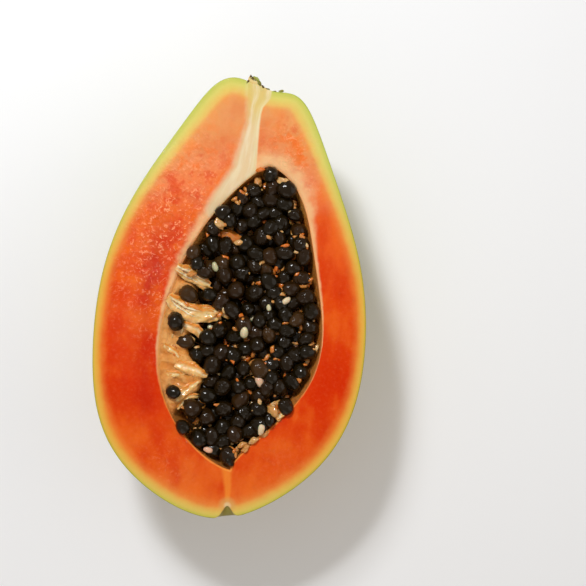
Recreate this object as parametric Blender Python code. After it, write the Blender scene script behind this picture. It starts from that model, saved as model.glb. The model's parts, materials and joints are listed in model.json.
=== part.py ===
"""Half of a small ripe papaya, cut lengthwise and lying on its skin with the cut face up.

Two solids: the fruit half, which is skin, flesh and stalk stub in one piece with an open seed cavity,
and the seed heap that fills the cavity, which is a core with seeds, membrane and pulp fused to it.

Shapes are worked out in millimetres on the cut face, with X across, Y from the blossom end to the
stem end and Z up from the cut face, and become metres when the meshes are made.
"""

import math
import random

import bmesh
import bpy
import numpy as np
from mathutils import Euler, Matrix, Vector
from numpy.polynomial import chebyshev

MM = 0.001

# Fruit axis: it starts at the blossom end and its neck leans over towards the stem end
AXIS_LENGTH = 184.0
AXIS_START = (-6.0, -1.0)
NECK_LEAN = math.radians(13.0)
LEAN_STARTS_AT = 0.42
AXIS_STEPS = 360

# Half-widths and depths of the ellipse that the skin follows, at stations from the blossom end to the
# stem end that are evenly spaced in angle round that ellipse
LEFT_GIRTH = (54.5, 63.0, 57.5, 49.0, 45.0, 61.0)
RIGHT_GIRTH = (50.0, 60.0, 59.5, 51.5, 41.5, 41.0)
DEPTH_GIRTH = (46.0, 55.5, 57.5, 54.0, 44.0, 46.0)
LOBES = 5
LOBE_RELIEF = 0.015
RESTING_SAG = 1.2

# The stem end is dished between its shoulders, and the blossom end has a small pit
STEM_DISH_DEPTH = 6.0
STEM_DISH_SPREAD = 0.24
BLOSSOM_PIT_DEPTH = 3.5

# Stub of the stalk, left of the dish's middle, slanting down to the right
STUB_RADIUS = 4.8
STUB_TAPER = 0.1
STUB_LENGTH = 6.0
STUB_ROOT = 8.5
STUB_ACROSS = -5.5
STUB_SLANT = 2.0
STUB_RAGGEDNESS = 0.8
STUB_BELOW_FACE = 0.4
STUB_SIDES = 8

# Seed cavity: its axis on the cut face, and the half-widths of its rim at evenly spaced stations
CAVITY_LENGTH = 126.0
CAVITY_START = (-1.0, 19.3)
CAVITY_TURN = math.radians(3.5)
CAVITY_LEFT = (46.0, 43.0, 35.0, 29.0, 24.0)
CAVITY_RIGHT = (0.0, 22.0, 30.0, 29.0, 38.0)
CAVITY_TIP_SHARPNESS = 1.4
CAVITY_DEPTH = 29.0
CAVITY_FLATNESS = 2.4
CAVITY_WALL_SLOPE = 0.75

# Shelf of pale tissue along the left wall, in shares of the cavity's width and length
SHELF_ACROSS = -0.95
SHELF_ALONG = 0.44
SHELF_WIDTH = 0.48
SHELF_REACH = 0.25
SHELF_FILL = 0.8

# Seed heap: how far its top lies below the cut face, and what it keeps clear of the cavity wall
HEAP_RIM_DIP = 2.8
HEAP_MIDDLE_DIP = 2.6
PIECE_GAP = 0.4
CORE_GAP = 1.3
LEAST_CORE_DEPTH = 1.5
LEAST_CORE_WIDTH = 0.5
CORE_EDGE = 0.97
CORE_EDGE_STEP = 0.01

# Seeds, in shuffled rows
SEED_LENGTH = 6.8
SEED_WIDTH = 5.6
SEED_SIZE_SPREAD = 0.10
SEED_SPACING = 6.0
SEED_SHUFFLE = 0.9
SEED_RISE = 0.8
SEED_RISE_SPREAD = 0.8
SEED_TILT = 0.6
SEED_DRAW = 11
SEED_BANDS = 3
GRAIN_SIDES = 6
GRAIN_BLUNTNESS = 0.12

# A piece that touches the wall is nudged towards the cavity's middle and up
NUDGE = 0.5
MOST_NUDGES = 8
NUDGE_ALONG = 0.3
NUDGE_UP = 0.2

# Strands of membrane that reach from the wall over the seeds: the route of each, and its width
STRANDS = (
    (((-25.0, 99.0), (-20.0, 97.0), (-14.5, 95.0)), 4.4),
    (((-27.5, 86.0), (-23.5, 83.0), (-17.5, 81.0), (-11.0, 83.0), (-6.5, 81.5)), 5.4),
    (((-25.5, 75.5), (-20.5, 76.0), (-16.0, 71.0)), 3.2),
    (((-24.0, 58.5), (-18.0, 57.5), (-12.5, 58.5)), 4.2),
    (((-24.5, 47.5), (-21.0, 50.0), (-17.5, 54.0)), 3.2),
    (((19.0, 43.5), (15.5, 45.5), (12.0, 49.0)), 4.6),
)
STRAND_THICKNESS = 0.55
STRAND_RISE = 1.4
STRAND_END = 0.6

# Lumps of loose pulp among the seeds: place, length and heading of each
LUMPS = (
    (-7.0, 115.5, 9.5, -0.2),
    (14.5, 106.5, 7.0, 0.5),
    (6.0, 97.0, 5.5, 0.3),
    (17.5, 100.0, 6.5, 1.2),
    (9.0, 79.5, 6.0, 0.9),
    (18.0, 78.5, 7.0, -0.9),
    (2.0, 63.5, 6.0, 0.2),
    (7.5, 55.5, 7.5, 0.1),
)
LUMP_ROUNDNESS = 0.6
LUMP_RISE = 2.2
LUMP_TILT = 0.15
LUMP_BANDS = 4

# Mesh steps along and round the fruit, its cavity and the heap's core
STATIONS = 36
SKIN_STEPS = 20
CAVITY_STEPS = 12
CORE_STATIONS = 18
CORE_STEPS = 10
MERGE = 0.01
SHARP_ANGLE = math.radians(40.0)

SKIN_COLOUR = (0.42, 0.40, 0.03)
FLESH_COLOUR = (0.80, 0.10, 0.01)
SEED_COLOUR = (0.010, 0.007, 0.004)


def girth(stations, angle):
    """Smooth value at an angle along the fruit, through evenly spaced stations."""
    places = np.cos(np.linspace(0.0, math.pi, len(stations)))
    series = chebyshev.chebfit(places, stations, len(stations) - 1)
    return chebyshev.chebval(np.cos(angle), series)


def smooth_step(value):
    value = min(max(value, 0.0), 1.0)
    return value * value * (3.0 - 2.0 * value)


def fruit_axis():
    """Angle, place and heading at each step along the fruit's axis."""
    x, y = AXIS_START
    before = 0.0
    axis = []
    for step in range(AXIS_STEPS + 1):
        angle = math.pi * step / AXIS_STEPS
        share = (1.0 - math.cos(angle)) / 2.0
        heading = NECK_LEAN * smooth_step((share - LEAN_STARTS_AT) / (1.0 - LEAN_STARTS_AT))
        x += math.sin(heading) * (share - before) * AXIS_LENGTH
        y += math.cos(heading) * (share - before) * AXIS_LENGTH
        before = share
        axis.append((angle, x, y, heading))
    return axis


def beside_axis(station, across, along):
    """Point on the cut face that lies across and along from a place on the fruit's axis."""
    _, x, y, heading = station
    return (
        x + across * math.cos(heading) + along * math.sin(heading),
        y - across * math.sin(heading) + along * math.cos(heading),
    )


def skin_row(station):
    """Skin points at one station, from the left rim under the fruit to the right rim."""
    angle = station[0]
    left = math.sin(angle) * girth(LEFT_GIRTH, angle)
    right = math.sin(angle) * girth(RIGHT_GIRTH, angle)
    depth = math.sin(angle) * girth(DEPTH_GIRTH, angle)
    dish = STEM_DISH_DEPTH * math.exp(-(((math.pi - angle) / STEM_DISH_SPREAD) ** 2))
    pit = BLOSSOM_PIT_DEPTH if angle == 0.0 else 0.0
    row = []
    for j in range(SKIN_STEPS + 1):
        turn = math.pi * j / SKIN_STEPS
        lobe = math.sin(turn) * (1.0 - math.cos(LOBES * (turn - math.pi / 2.0))) / 2.0
        size = 1.0 - LOBE_RELIEF * lobe
        side = left if turn < math.pi / 2.0 else right
        x, y = beside_axis(station, -math.cos(turn) * side * size, pit - dish)
        row.append((x, y, -depth * math.sin(turn) * size))
    return row


def cavity_sides(angle):
    """Half-widths of the cavity to the left and right of its axis."""
    taper = math.sin(angle) ** CAVITY_TIP_SHARPNESS
    return taper * girth(CAVITY_LEFT, angle), taper * girth(CAVITY_RIGHT, angle)


def cavity_point(angle, across):
    """Point on the cut face in the cavity, across running from -1 at the left rim to 1 at the right."""
    left, right = cavity_sides(angle)
    sideways = (right - left) / 2.0 + across * (right + left) / 2.0
    along = CAVITY_LENGTH * (1.0 - math.cos(angle)) / 2.0
    x = CAVITY_START[0] + along * math.sin(CAVITY_TURN) + sideways * math.cos(CAVITY_TURN)
    y = CAVITY_START[1] + along * math.cos(CAVITY_TURN) - sideways * math.sin(CAVITY_TURN)
    return x, y


def cavity_place(x, y):
    """The reverse of cavity_point: angle along and share across, or None outside the rim."""
    dx = x - CAVITY_START[0]
    dy = y - CAVITY_START[1]
    along = dx * math.sin(CAVITY_TURN) + dy * math.cos(CAVITY_TURN)
    sideways = dx * math.cos(CAVITY_TURN) - dy * math.sin(CAVITY_TURN)
    if not 0.0 < along < CAVITY_LENGTH:
        return None
    angle = math.acos(1.0 - 2.0 * along / CAVITY_LENGTH)
    left, right = cavity_sides(angle)
    across = (sideways - (right - left) / 2.0) / ((right + left) / 2.0)
    return (angle, across) if abs(across) <= 1.0 else None


def cavity_depth(angle, across):
    """Depth of the cavity wall below the cut face."""
    bowl = (1.0 - abs(across) ** CAVITY_FLATNESS) ** CAVITY_WALL_SLOPE
    along = (1.0 - math.cos(angle)) / 2.0
    beside = ((across - SHELF_ACROSS) / SHELF_WIDTH) ** 2
    ahead = ((along - SHELF_ALONG) / SHELF_REACH) ** 2
    shelf = SHELF_FILL * math.exp(-beside - ahead)
    return CAVITY_DEPTH * math.sin(angle) * bowl * (1.0 - shelf)


def heap_dip(angle, across):
    """Depth of the heap's top below the cut face."""
    return HEAP_RIM_DIP + HEAP_MIDDLE_DIP * math.sin(angle) * (1.0 - across * across)


def core_depth(angle, across):
    """Depth of the heap's core from its top to its underside."""
    return cavity_depth(angle, across) - CORE_GAP - heap_dip(angle, across)


def new_object(name, points, faces, materials, face_materials=None):
    """Mesh object from points in millimetres, closed and facing out."""
    mesh = bpy.data.meshes.new(name)
    mesh.from_pydata([tuple(MM * c for c in p) for p in points], [], faces)
    for material in materials:
        mesh.materials.append(material)
    if face_materials:
        mesh.polygons.foreach_set("material_index", face_materials)
    work = bmesh.new()
    work.from_mesh(mesh)
    bmesh.ops.remove_doubles(work, verts=work.verts, dist=MERGE * MM)
    bmesh.ops.recalc_face_normals(work, faces=work.faces)
    work.to_mesh(mesh)
    work.free()
    mesh.shade_smooth()
    mesh.set_sharp_from_angle(angle=SHARP_ANGLE)
    thing = bpy.data.objects.new(name, mesh)
    bpy.context.scene.collection.objects.link(thing)
    return thing


def new_material(name, colour, roughness):
    material = bpy.data.materials.new(name)
    material.use_nodes = True
    shader = material.node_tree.nodes["Principled BSDF"]
    shader.inputs["Base Color"].default_value = (*colour, 1.0)
    shader.inputs["Roughness"].default_value = roughness
    shader.inputs["Metallic"].default_value = 0.0
    return material


def loft(rings):
    """Points and faces of a closed body through rings of the same number of points, its ends capped."""
    points = [point for ring in rings for point in ring]
    count = len(rings[0])
    last = len(points) - count
    faces = [tuple(range(count)), tuple(range(last, last + count))]
    for near in range(0, last, count):
        for j in range(count):
            after = (j + 1) % count
            faces.append((near + j, near + after, near + count + after, near + count + j))
    return points, faces


def fuse(base, pieces):
    """Joins the pieces to the base in one union and removes them."""
    group = bpy.data.collections.new(base.name + "_pieces")
    bpy.context.scene.collection.children.link(group)
    for piece in pieces:
        bpy.context.scene.collection.objects.unlink(piece)
        group.objects.link(piece)
    union = base.modifiers.new("union", "BOOLEAN")
    union.operation = "UNION"
    union.operand_type = "COLLECTION"
    union.collection = group
    union.solver = "EXACT"
    bpy.context.view_layer.update()
    evaluated = base.evaluated_get(bpy.context.evaluated_depsgraph_get())
    joined = bpy.data.meshes.new_from_object(evaluated)
    base.modifiers.clear()
    base.data = joined
    for piece in pieces:
        bpy.data.objects.remove(piece, do_unlink=True)
    bpy.data.collections.remove(group)
    clean_union(joined)
    joined.shade_smooth()
    joined.set_sharp_from_angle(angle=SHARP_ANGLE)


def clean_union(mesh):
    """Straightens the seams, splits the faces into triangles and keeps only the largest body.

    Sealed hollows and loose scraps are the smaller groups of faces joined by edges.
    """
    work = bmesh.new()
    work.from_mesh(mesh)
    midway = [vertex for vertex in work.verts if len(vertex.link_edges) == 2]
    bmesh.ops.dissolve_verts(work, verts=midway)
    bmesh.ops.triangulate(work, faces=work.faces)
    unseen = set(work.faces)
    bodies = []
    while unseen:
        queue = [unseen.pop()]
        body = []
        while queue:
            face = queue.pop()
            body.append(face)
            for edge in face.edges:
                for other in edge.link_faces:
                    if other in unseen:
                        unseen.remove(other)
                        queue.append(other)
        bodies.append(body)
    bodies.sort(key=len)
    for body in bodies[:-1]:
        bmesh.ops.delete(work, geom=body, context="FACES")
    work.to_mesh(mesh)
    work.free()


def make_fruit(skin_material, flesh_material):
    """Skin, cut face and cavity wall as one closed surface, with a flat spot to rest on."""
    stations = fruit_axis()[:: AXIS_STEPS // STATIONS]
    skin_rows = [skin_row(station) for station in stations]
    lowest = min(point[2] for row in skin_rows for point in row) + RESTING_SAG
    points = [(x, y, max(z, lowest)) for row in skin_rows for x, y, z in row]
    wall_start = len(points)
    for station in stations:
        for j in range(CAVITY_STEPS + 1):
            across = -math.cos(math.pi * j / CAVITY_STEPS)
            points.append((*cavity_point(station[0], across), -cavity_depth(station[0], across)))

    skin_faces = []
    flesh_faces = []
    for k in range(STATIONS):
        skin = [k * (SKIN_STEPS + 1) + j for j in range(SKIN_STEPS + 1)]
        wall = [wall_start + k * (CAVITY_STEPS + 1) + j for j in range(CAVITY_STEPS + 1)]
        next_skin = [index + SKIN_STEPS + 1 for index in skin]
        next_wall = [index + CAVITY_STEPS + 1 for index in wall]
        for j in range(SKIN_STEPS):
            skin_faces.append((skin[j], skin[j + 1], next_skin[j + 1], next_skin[j]))
        for j in range(CAVITY_STEPS):
            flesh_faces.append((wall[j], next_wall[j], next_wall[j + 1], wall[j + 1]))
        flesh_faces.append((skin[0], next_skin[0], next_wall[0], wall[0]))
        flesh_faces.append((skin[-1], wall[-1], next_wall[-1], next_skin[-1]))
    kinds = [0] * len(skin_faces) + [1] * len(flesh_faces)
    return new_object("fruit_half", points, skin_faces + flesh_faces, [skin_material, flesh_material], kinds)


def make_stub(material):
    """Ragged half cylinder of stalk in the stem dish, its flat side just under the cut face."""
    end = fruit_axis()[-1]
    rings = []
    for top in (0, 1):
        ring = []
        for j in range(STUB_SIDES + 1):
            turn = math.pi * j / STUB_SIDES
            radius = STUB_RADIUS * (1.0 + STUB_TAPER * (1 - 2 * top))
            ragged = STUB_RAGGEDNESS * math.sin(STUB_SIDES * turn) - STUB_SLANT * j / STUB_SIDES
            along = top * (STUB_LENGTH + ragged) - STUB_ROOT
            x, y = beside_axis(end, STUB_ACROSS - radius * math.cos(turn), along)
            ring.append((x, y, -radius * math.sin(turn) - STUB_BELOW_FACE))
        rings.append(ring)
    return new_object("stub", *loft(rings), [material])


def make_core(material):
    """Seedless core of the heap: it follows the cavity wall below and dips on top."""
    steps = [(1.0 - math.cos(math.pi * j / CORE_STEPS)) / 2.0 for j in range(CORE_STEPS + 1)]
    rings = []
    for k in range(1, CORE_STATIONS):
        angle = math.pi * k / CORE_STATIONS
        left = -CORE_EDGE
        right = CORE_EDGE
        while left < 0.0 and core_depth(angle, left) < LEAST_CORE_DEPTH:
            left += CORE_EDGE_STEP
        while right > 0.0 and core_depth(angle, right) < LEAST_CORE_DEPTH:
            right -= CORE_EDGE_STEP
        if right - left < LEAST_CORE_WIDTH:
            continue
        places = [(angle, left + (right - left) * step) for step in steps]
        under = [(*cavity_point(*place), CORE_GAP - cavity_depth(*place)) for place in places]
        over = [(*cavity_point(*place), -heap_dip(*place)) for place in reversed(places)]
        rings.append(under + over)
    return new_object("seed_heap", *loft(rings), [material])


def clear_of_wall(point):
    """True where a point keeps the gap to the cavity wall below it and on each side."""
    for dx, dy in ((0, 0), (1, 0), (-1, 0), (0, 1), (0, -1)):
        place = cavity_place(point[0] + dx * PIECE_GAP, point[1] + dy * PIECE_GAP)
        if place is None or -point[2] > cavity_depth(*place) - PIECE_GAP:
            return False
    return True


def nudged_clear(points):
    """The points moved towards the cavity's middle and up until they clear the wall, or None."""
    middle = Vector((*cavity_point(math.pi / 2.0, 0.0), 0.0))
    for _ in range(MOST_NUDGES):
        if all(clear_of_wall(point) for point in points):
            return points
        centre = sum(points, Vector()) / len(points)
        step = Vector((middle.x - centre.x, NUDGE_ALONG * (middle.y - centre.y), 0.0)).normalized()
        step.z = NUDGE_UP
        points = [point + NUDGE * step for point in points]
    return None


def grain(centre, turn, length, width, bands):
    """Points and faces of an egg-shaped grain, turned and set on its centre."""
    points = [(-length / 2.0, 0.0, 0.0)]
    for i in range(1, bands):
        latitude = math.pi * i / bands
        size = width / 2.0 * math.sin(latitude) * (1.0 - GRAIN_BLUNTNESS * math.cos(latitude))
        for j in range(GRAIN_SIDES):
            side = math.tau * (j + 0.5 * i) / GRAIN_SIDES
            points.append((-length / 2.0 * math.cos(latitude), size * math.cos(side), size * math.sin(side)))
    points.append((length / 2.0, 0.0, 0.0))
    last_ring = 1 + (bands - 2) * GRAIN_SIDES
    faces = []
    for j in range(GRAIN_SIDES):
        after = (j + 1) % GRAIN_SIDES
        faces.append((0, 1 + after, 1 + j))
        faces.append((len(points) - 1, last_ring + j, last_ring + after))
        for near in range(1, last_ring, GRAIN_SIDES):
            faces.append((near + j, near + after, near + GRAIN_SIDES + after, near + GRAIN_SIDES + j))
    return [centre + turn @ Vector(point) for point in points], faces


def lump_lies_here(x, y):
    return any(math.hypot(x - lump[0], y - lump[1]) < lump[2] / 3.0 for lump in LUMPS)


def make_seeds(material):
    """Seeds in shuffled rows over the heap's top, each turned its own way and clear of the wall."""
    draw = random.Random(SEED_DRAW)
    row_step = SEED_SPACING * math.sqrt(3.0) / 2.0
    most_across = int(max(CAVITY_LEFT) / SEED_SPACING)
    seeds = []
    for row in range(int(CAVITY_LENGTH / row_step) + 1):
        for column in range(-most_across, most_across + 1):
            x = (column + 0.5 * (row % 2)) * SEED_SPACING + draw.uniform(-SEED_SHUFFLE, SEED_SHUFFLE)
            y = CAVITY_START[1] + row * row_step + draw.uniform(-SEED_SHUFFLE, SEED_SHUFFLE)
            roll = draw.uniform(0.0, math.tau)
            tilt = draw.uniform(-SEED_TILT, SEED_TILT)
            heading = draw.uniform(0.0, math.tau)
            size = 1.0 + draw.uniform(-SEED_SIZE_SPREAD, SEED_SIZE_SPREAD)
            rise = SEED_RISE + draw.uniform(-SEED_RISE_SPREAD, SEED_RISE_SPREAD)
            place = cavity_place(x, y)
            if place is None or core_depth(*place) < 0.0 or lump_lies_here(x, y):
                continue
            centre = Vector((x, y, rise - heap_dip(*place)))
            turn = Euler((roll, tilt, heading)).to_matrix()
            points, faces = grain(centre, turn, size * SEED_LENGTH, size * SEED_WIDTH, SEED_BANDS)
            points = nudged_clear(points)
            if points:
                seeds.append(new_object("seed", points, faces, [material]))
    return seeds


def make_lumps(material):
    """Lumps of pulp lying among the seeds."""
    lumps = []
    for x, y, length, heading in LUMPS:
        centre = Vector((x, y, LUMP_RISE - heap_dip(*cavity_place(x, y))))
        turn = Euler((0.0, LUMP_TILT, heading)).to_matrix()
        points, faces = grain(centre, turn, length, LUMP_ROUNDNESS * length, LUMP_BANDS)
        lumps.append(new_object("lump", nudged_clear(points), faces, [material]))
    return lumps


def make_strands(material):
    """Flat strands of membrane, each a ring round every point of its route, narrower at the ends."""
    strands = []
    for route, width in STRANDS:
        points = []
        for k, (x, y) in enumerate(route):
            before = route[max(k - 1, 0)]
            after = route[min(k + 1, len(route) - 1)]
            heading = math.atan2(after[1] - before[1], after[0] - before[0])
            share = (k + STRAND_END) / (len(route) - 1 + 2.0 * STRAND_END)
            half = width / 2.0 * math.sqrt(math.sin(math.pi * share))
            height = STRAND_RISE - heap_dip(*cavity_place(x, y))
            for j in range(GRAIN_SIDES):
                side = math.tau * j / GRAIN_SIDES
                sideways = half * math.cos(side)
                up = STRAND_THICKNESS * half * math.sin(side)
                points.append(Vector((x - sideways * math.sin(heading), y + sideways * math.cos(heading), height + up)))
        points = nudged_clear(points)
        rings = [points[start : start + GRAIN_SIDES] for start in range(0, len(points), GRAIN_SIDES)]
        strands.append(new_object("strand", *loft(rings), [material]))
    return strands


def centre_on_base(things):
    """Moves the meshes so that the whole stands on its lowest point, centred on the origin."""
    corners = [vertex.co for thing in things for vertex in thing.data.vertices]
    low = [min(corner[i] for corner in corners) for i in range(3)]
    high = [max(corner[i] for corner in corners) for i in range(3)]
    shift = Matrix.Translation((-(low[0] + high[0]) / 2.0, -(low[1] + high[1]) / 2.0, -low[2]))
    for thing in things:
        thing.data.transform(shift)


def main():
    for thing in list(bpy.data.objects):
        bpy.data.objects.remove(thing, do_unlink=True)
    skin = new_material("papaya_skin", SKIN_COLOUR, 0.45)
    flesh = new_material("papaya_flesh", FLESH_COLOUR, 0.35)
    seed = new_material("papaya_seed", SEED_COLOUR, 0.2)
    fruit = make_fruit(skin, flesh)
    fuse(fruit, [make_stub(skin)])
    heap = make_core(seed)
    fuse(heap, make_seeds(seed) + make_lumps(seed) + make_strands(seed))
    centre_on_base([fruit, heap])


main()
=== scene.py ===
"""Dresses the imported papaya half: skin, cut flesh, seeds, membrane and pulp, and a stage to see it on.

Shapes are worked out in millimetres on the cut face, with X across, Y from the blossom end to the stem
end and Z up from the cut face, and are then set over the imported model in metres.
"""

import functools
import json
import math

import bmesh
import bpy
import numpy as np
from bpy.props import FloatProperty, FloatVectorProperty, IntProperty, PointerProperty
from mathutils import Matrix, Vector, noise
from numpy.polynomial import chebyshev

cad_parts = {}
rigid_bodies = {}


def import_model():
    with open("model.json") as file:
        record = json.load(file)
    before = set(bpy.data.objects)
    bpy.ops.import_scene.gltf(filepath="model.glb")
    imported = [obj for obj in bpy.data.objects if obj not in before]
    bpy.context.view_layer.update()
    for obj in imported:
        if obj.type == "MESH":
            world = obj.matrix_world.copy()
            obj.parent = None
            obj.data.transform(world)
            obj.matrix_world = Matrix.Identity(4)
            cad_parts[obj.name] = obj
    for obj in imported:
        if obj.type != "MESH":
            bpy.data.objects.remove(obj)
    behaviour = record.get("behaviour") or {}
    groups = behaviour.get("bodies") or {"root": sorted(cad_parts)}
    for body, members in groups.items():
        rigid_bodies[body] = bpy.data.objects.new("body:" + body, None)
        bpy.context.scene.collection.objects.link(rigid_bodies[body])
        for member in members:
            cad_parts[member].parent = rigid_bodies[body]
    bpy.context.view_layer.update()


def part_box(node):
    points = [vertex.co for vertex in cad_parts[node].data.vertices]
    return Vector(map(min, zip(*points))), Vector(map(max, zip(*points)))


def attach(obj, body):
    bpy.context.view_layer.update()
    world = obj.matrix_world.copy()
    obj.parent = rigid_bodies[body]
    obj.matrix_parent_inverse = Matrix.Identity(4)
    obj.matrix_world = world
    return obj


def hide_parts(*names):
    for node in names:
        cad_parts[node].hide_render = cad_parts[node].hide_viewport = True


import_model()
FRUIT_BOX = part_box("fruit_half")

bl_info = {
    "name": "Papaya half",
    "version": (1, 0, 0),
    "blender": (4, 5, 0),
    "location": "3D View > Sidebar > Papaya",
    "description": "Makes half of a ripe papaya with its seeds, and a stage to see it on",
    "category": "Add Mesh",
}

MM = 0.001

# Fruit axis, the half-widths and depths of the skin at evenly spaced angles along it, its faint lobes, how
# much it is flattened where it rests, and the dish at its stem end
AXIS_LENGTH = 184.0
AXIS_START = (-6.0, -1.0)
AXIS_STEPS = 360
NECK_LEAN = math.radians(13.0)
LEAN_STARTS_AT = 0.42
LEFT_GIRTH = (54.5, 63.0, 57.5, 49.0, 45.0, 61.0)
RIGHT_GIRTH = (50.0, 60.0, 59.5, 51.5, 41.5, 41.0)
DEPTH_GIRTH = (46.0, 55.5, 57.5, 54.0, 44.0, 46.0)
LOBES = 5
LOBE_RELIEF = 0.015
RESTING_SAG = 1.2
STEM_DISH_DEPTH = 6.0
STEM_DISH_SPREAD = 0.24

# Pit where the blossom was: its middle on the cut edge, how far it reaches in, and its spread
PIT_PLACE = (-1.0, -0.6)
PIT_DEPTH = 5.2
PIT_WIDTH = 2.6
PIT_HEIGHT = 2.0
PIT_FADE = 5.0

# Seed cavity: its axis, the half-widths of its rim, its depth, and the shelf on its left wall
CAVITY_LENGTH = 126.0
CAVITY_START = (-1.0, 19.3)
CAVITY_TURN = math.radians(3.5)
CAVITY_LEFT = (46.0, 43.0, 35.0, 29.0, 24.0)
CAVITY_RIGHT = (0.0, 22.0, 30.0, 29.0, 38.0)
CAVITY_TIP_SHARPNESS = 1.4
CAVITY_DEPTH = 29.0
CAVITY_FLATNESS = 2.4
CAVITY_WALL_SLOPE = 0.75
SHELF_ACROSS = -0.95
SHELF_ALONG = 0.44
SHELF_WIDTH = 0.48
SHELF_REACH = 0.25
SHELF_FILL = 0.8

# Seed heap: how far its nominal top lies below the cut face at the rim and in the middle, how far seeds rise
# above that top, how thick the layer of seen seeds is, the most that one stands out, and the core's depth
HEAP_RIM_DIP = 2.8
HEAP_MIDDLE_DIP = 2.6
HEAP_RISE = 2.0
HEAP_LAYER = 5.0
HIGHEST = 3.4
CORE_BELOW_TOP = 6.5

# The seeds were measured by their dark middles; their clear coats make them this much larger
SEEN_SWELL = 1.18

# Left edge of the seeds on the torn tissue of the shelf, at distances up the fruit
SHELF_EDGE = ((36.0, -45.0), (39.5, -25.0), (45.0, -20.0), (49.0, -14.5), (54.0, -12.5), (58.0, -12.0),
              (62.0, -16.0), (65.0, -18.5), (72.0, -20.5), (77.0, -19.0), (84.0, -16.0), (90.0, -18.0),
              (96.0, -19.0), (101.0, -23.0), (106.0, -45.0))

# Seeds that hang along the cavity's rim: how far in, how far apart, and the least depth below the cut face
RIM_INSET = 2.0
RIM_SPACING = 2.4
RIM_DROP = 1.4

# Wettest, most torn flesh beside the cavity: how wet, its middle, and how far it spreads across and along
WET_SPOTS = (
    (1.0, -30.0, 114.0, 26.0, 44.0), (0.7, 18.0, 150.0, 14.0, 20.0), (0.3, -30.0, 18.0, 16.0, 12.0),
    (0.25, 22.0, 22.0, 14.0, 12.0),
)

# Ripe seeds beside the mean one: how slim and how long they are, the share that is wrinkled and how much,
# the wrinkles of the others, and the sizes of those along the rim
SLIMNESS = (0.86, 1.0)
LENGTHS = (0.95, 1.14)
WRINKLED_SHARE = 0.65
WRINKLES = (0.5, 1.2)
FAINT_WRINKLE = 0.3
RIM_SIZES = (0.78, 1.0)

# Bed that the seeds fall on: its grid step, half the size of a middling seed, how closely seeds press
# together, the height that stands for no ground, and how many drops may miss before the bed is full
BED_STEP = 0.5
SEED_REACH = 3.4
PRESSED = 0.57
NOWHERE = -99.0
MOST_MISSES = 150

# Scraps of tissue: their number, the most in a clump and how far it spreads, and the shortest and longest
SCRAPS = 420
MOST_IN_CLUMP = 4
CLUMP_SPREAD = 1.5
SCRAP_LENGTHS = (1.6, 3.8)

# Mesh steps of the heap's core
CORE_ROWS = 60
CORE_STEPS = 24

# Mesh steps of the dressed fruit, and how far its outer edge and the cavity's are rounded off
STATIONS = 300
SKIN_STEPS = 72
FACE_STEPS = 56
WALL_STEPS = 56
RIM_ROUND = 0.35
LIP_ROUND = 0.9

# Relief of the cut face: how far it falls towards the cavity and over what distance, how deep the core strip
# and the crease sink, and the sizes of its broad and fine waves
FACE_FALL = 0.5
FACE_FALL_WIDTH = 2.5
STRIP_SUNK = 0.2
CREASE_SUNK = 0.08
FACE_WAVES = (11.0, 3.5)

# Edges of the pale core strip that runs from the stem to the cavity: distance up the fruit and across
STRIP_LEFT = ((123.0, -20.1), (132.8, -16.0), (138.0, -12.5), (144.1, -9.2), (150.7, -7.8), (156.3, -6.4),
              (161.3, -5.0), (166.0, -4.4), (173.5, -5.2), (178.0, -5.4))
STRIP_RIGHT = ((123.0, 0.3), (136.3, 0.3), (144.8, 1.3), (154.3, 1.3), (161.5, 1.4), (166.3, 1.7),
               (169.0, 2.4), (172.6, 5.1), (176.0, 5.6))

# Where the strip begins to fade towards the cavity, over what distance, and how far its edge moves over
STRIP_ENDS_AT = 127.0
STRIP_FADE = 24.0
STRIP_HIDDEN = 30.0

# Width of the pale band along the cavity's rim, at distances up the fruit, on its left and right
BAND_LEFT = ((19.0, 0.7), (40.0, 0.35), (60.0, 0.8), (80.0, 1.4), (95.0, 2.4), (110.0, 3.2), (130.0, 4.6),
             (146.0, 6.0))
BAND_RIGHT = ((19.0, 0.7), (45.0, 0.5), (70.0, 0.3), (110.0, 1.3), (125.0, 3.0), (135.0, 5.5), (146.0, 6.0))

# Width of the yellow under the skin, at distances up the fruit
RIND_WIDTH = ((0.0, 5.5), (25.0, 5.0), (60.0, 4.0), (100.0, 4.0), (130.0, 5.2), (160.0, 7.0), (180.0, 8.0))

# Darker red streak in the left flesh and its width, and the crease from the cavity's tip to the blossom pit
STREAK = ((-35.5, 118.0), (-37.5, 105.0), (-39.2, 92.0), (-39.6, 78.0), (-39.3, 62.0), (-38.0, 45.0))
STREAK_WIDTH = 4.5
CREASE = ((-2.4, 20.0), (-1.9, 16.0), (-1.4, 12.0), (-1.2, 7.0))

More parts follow.
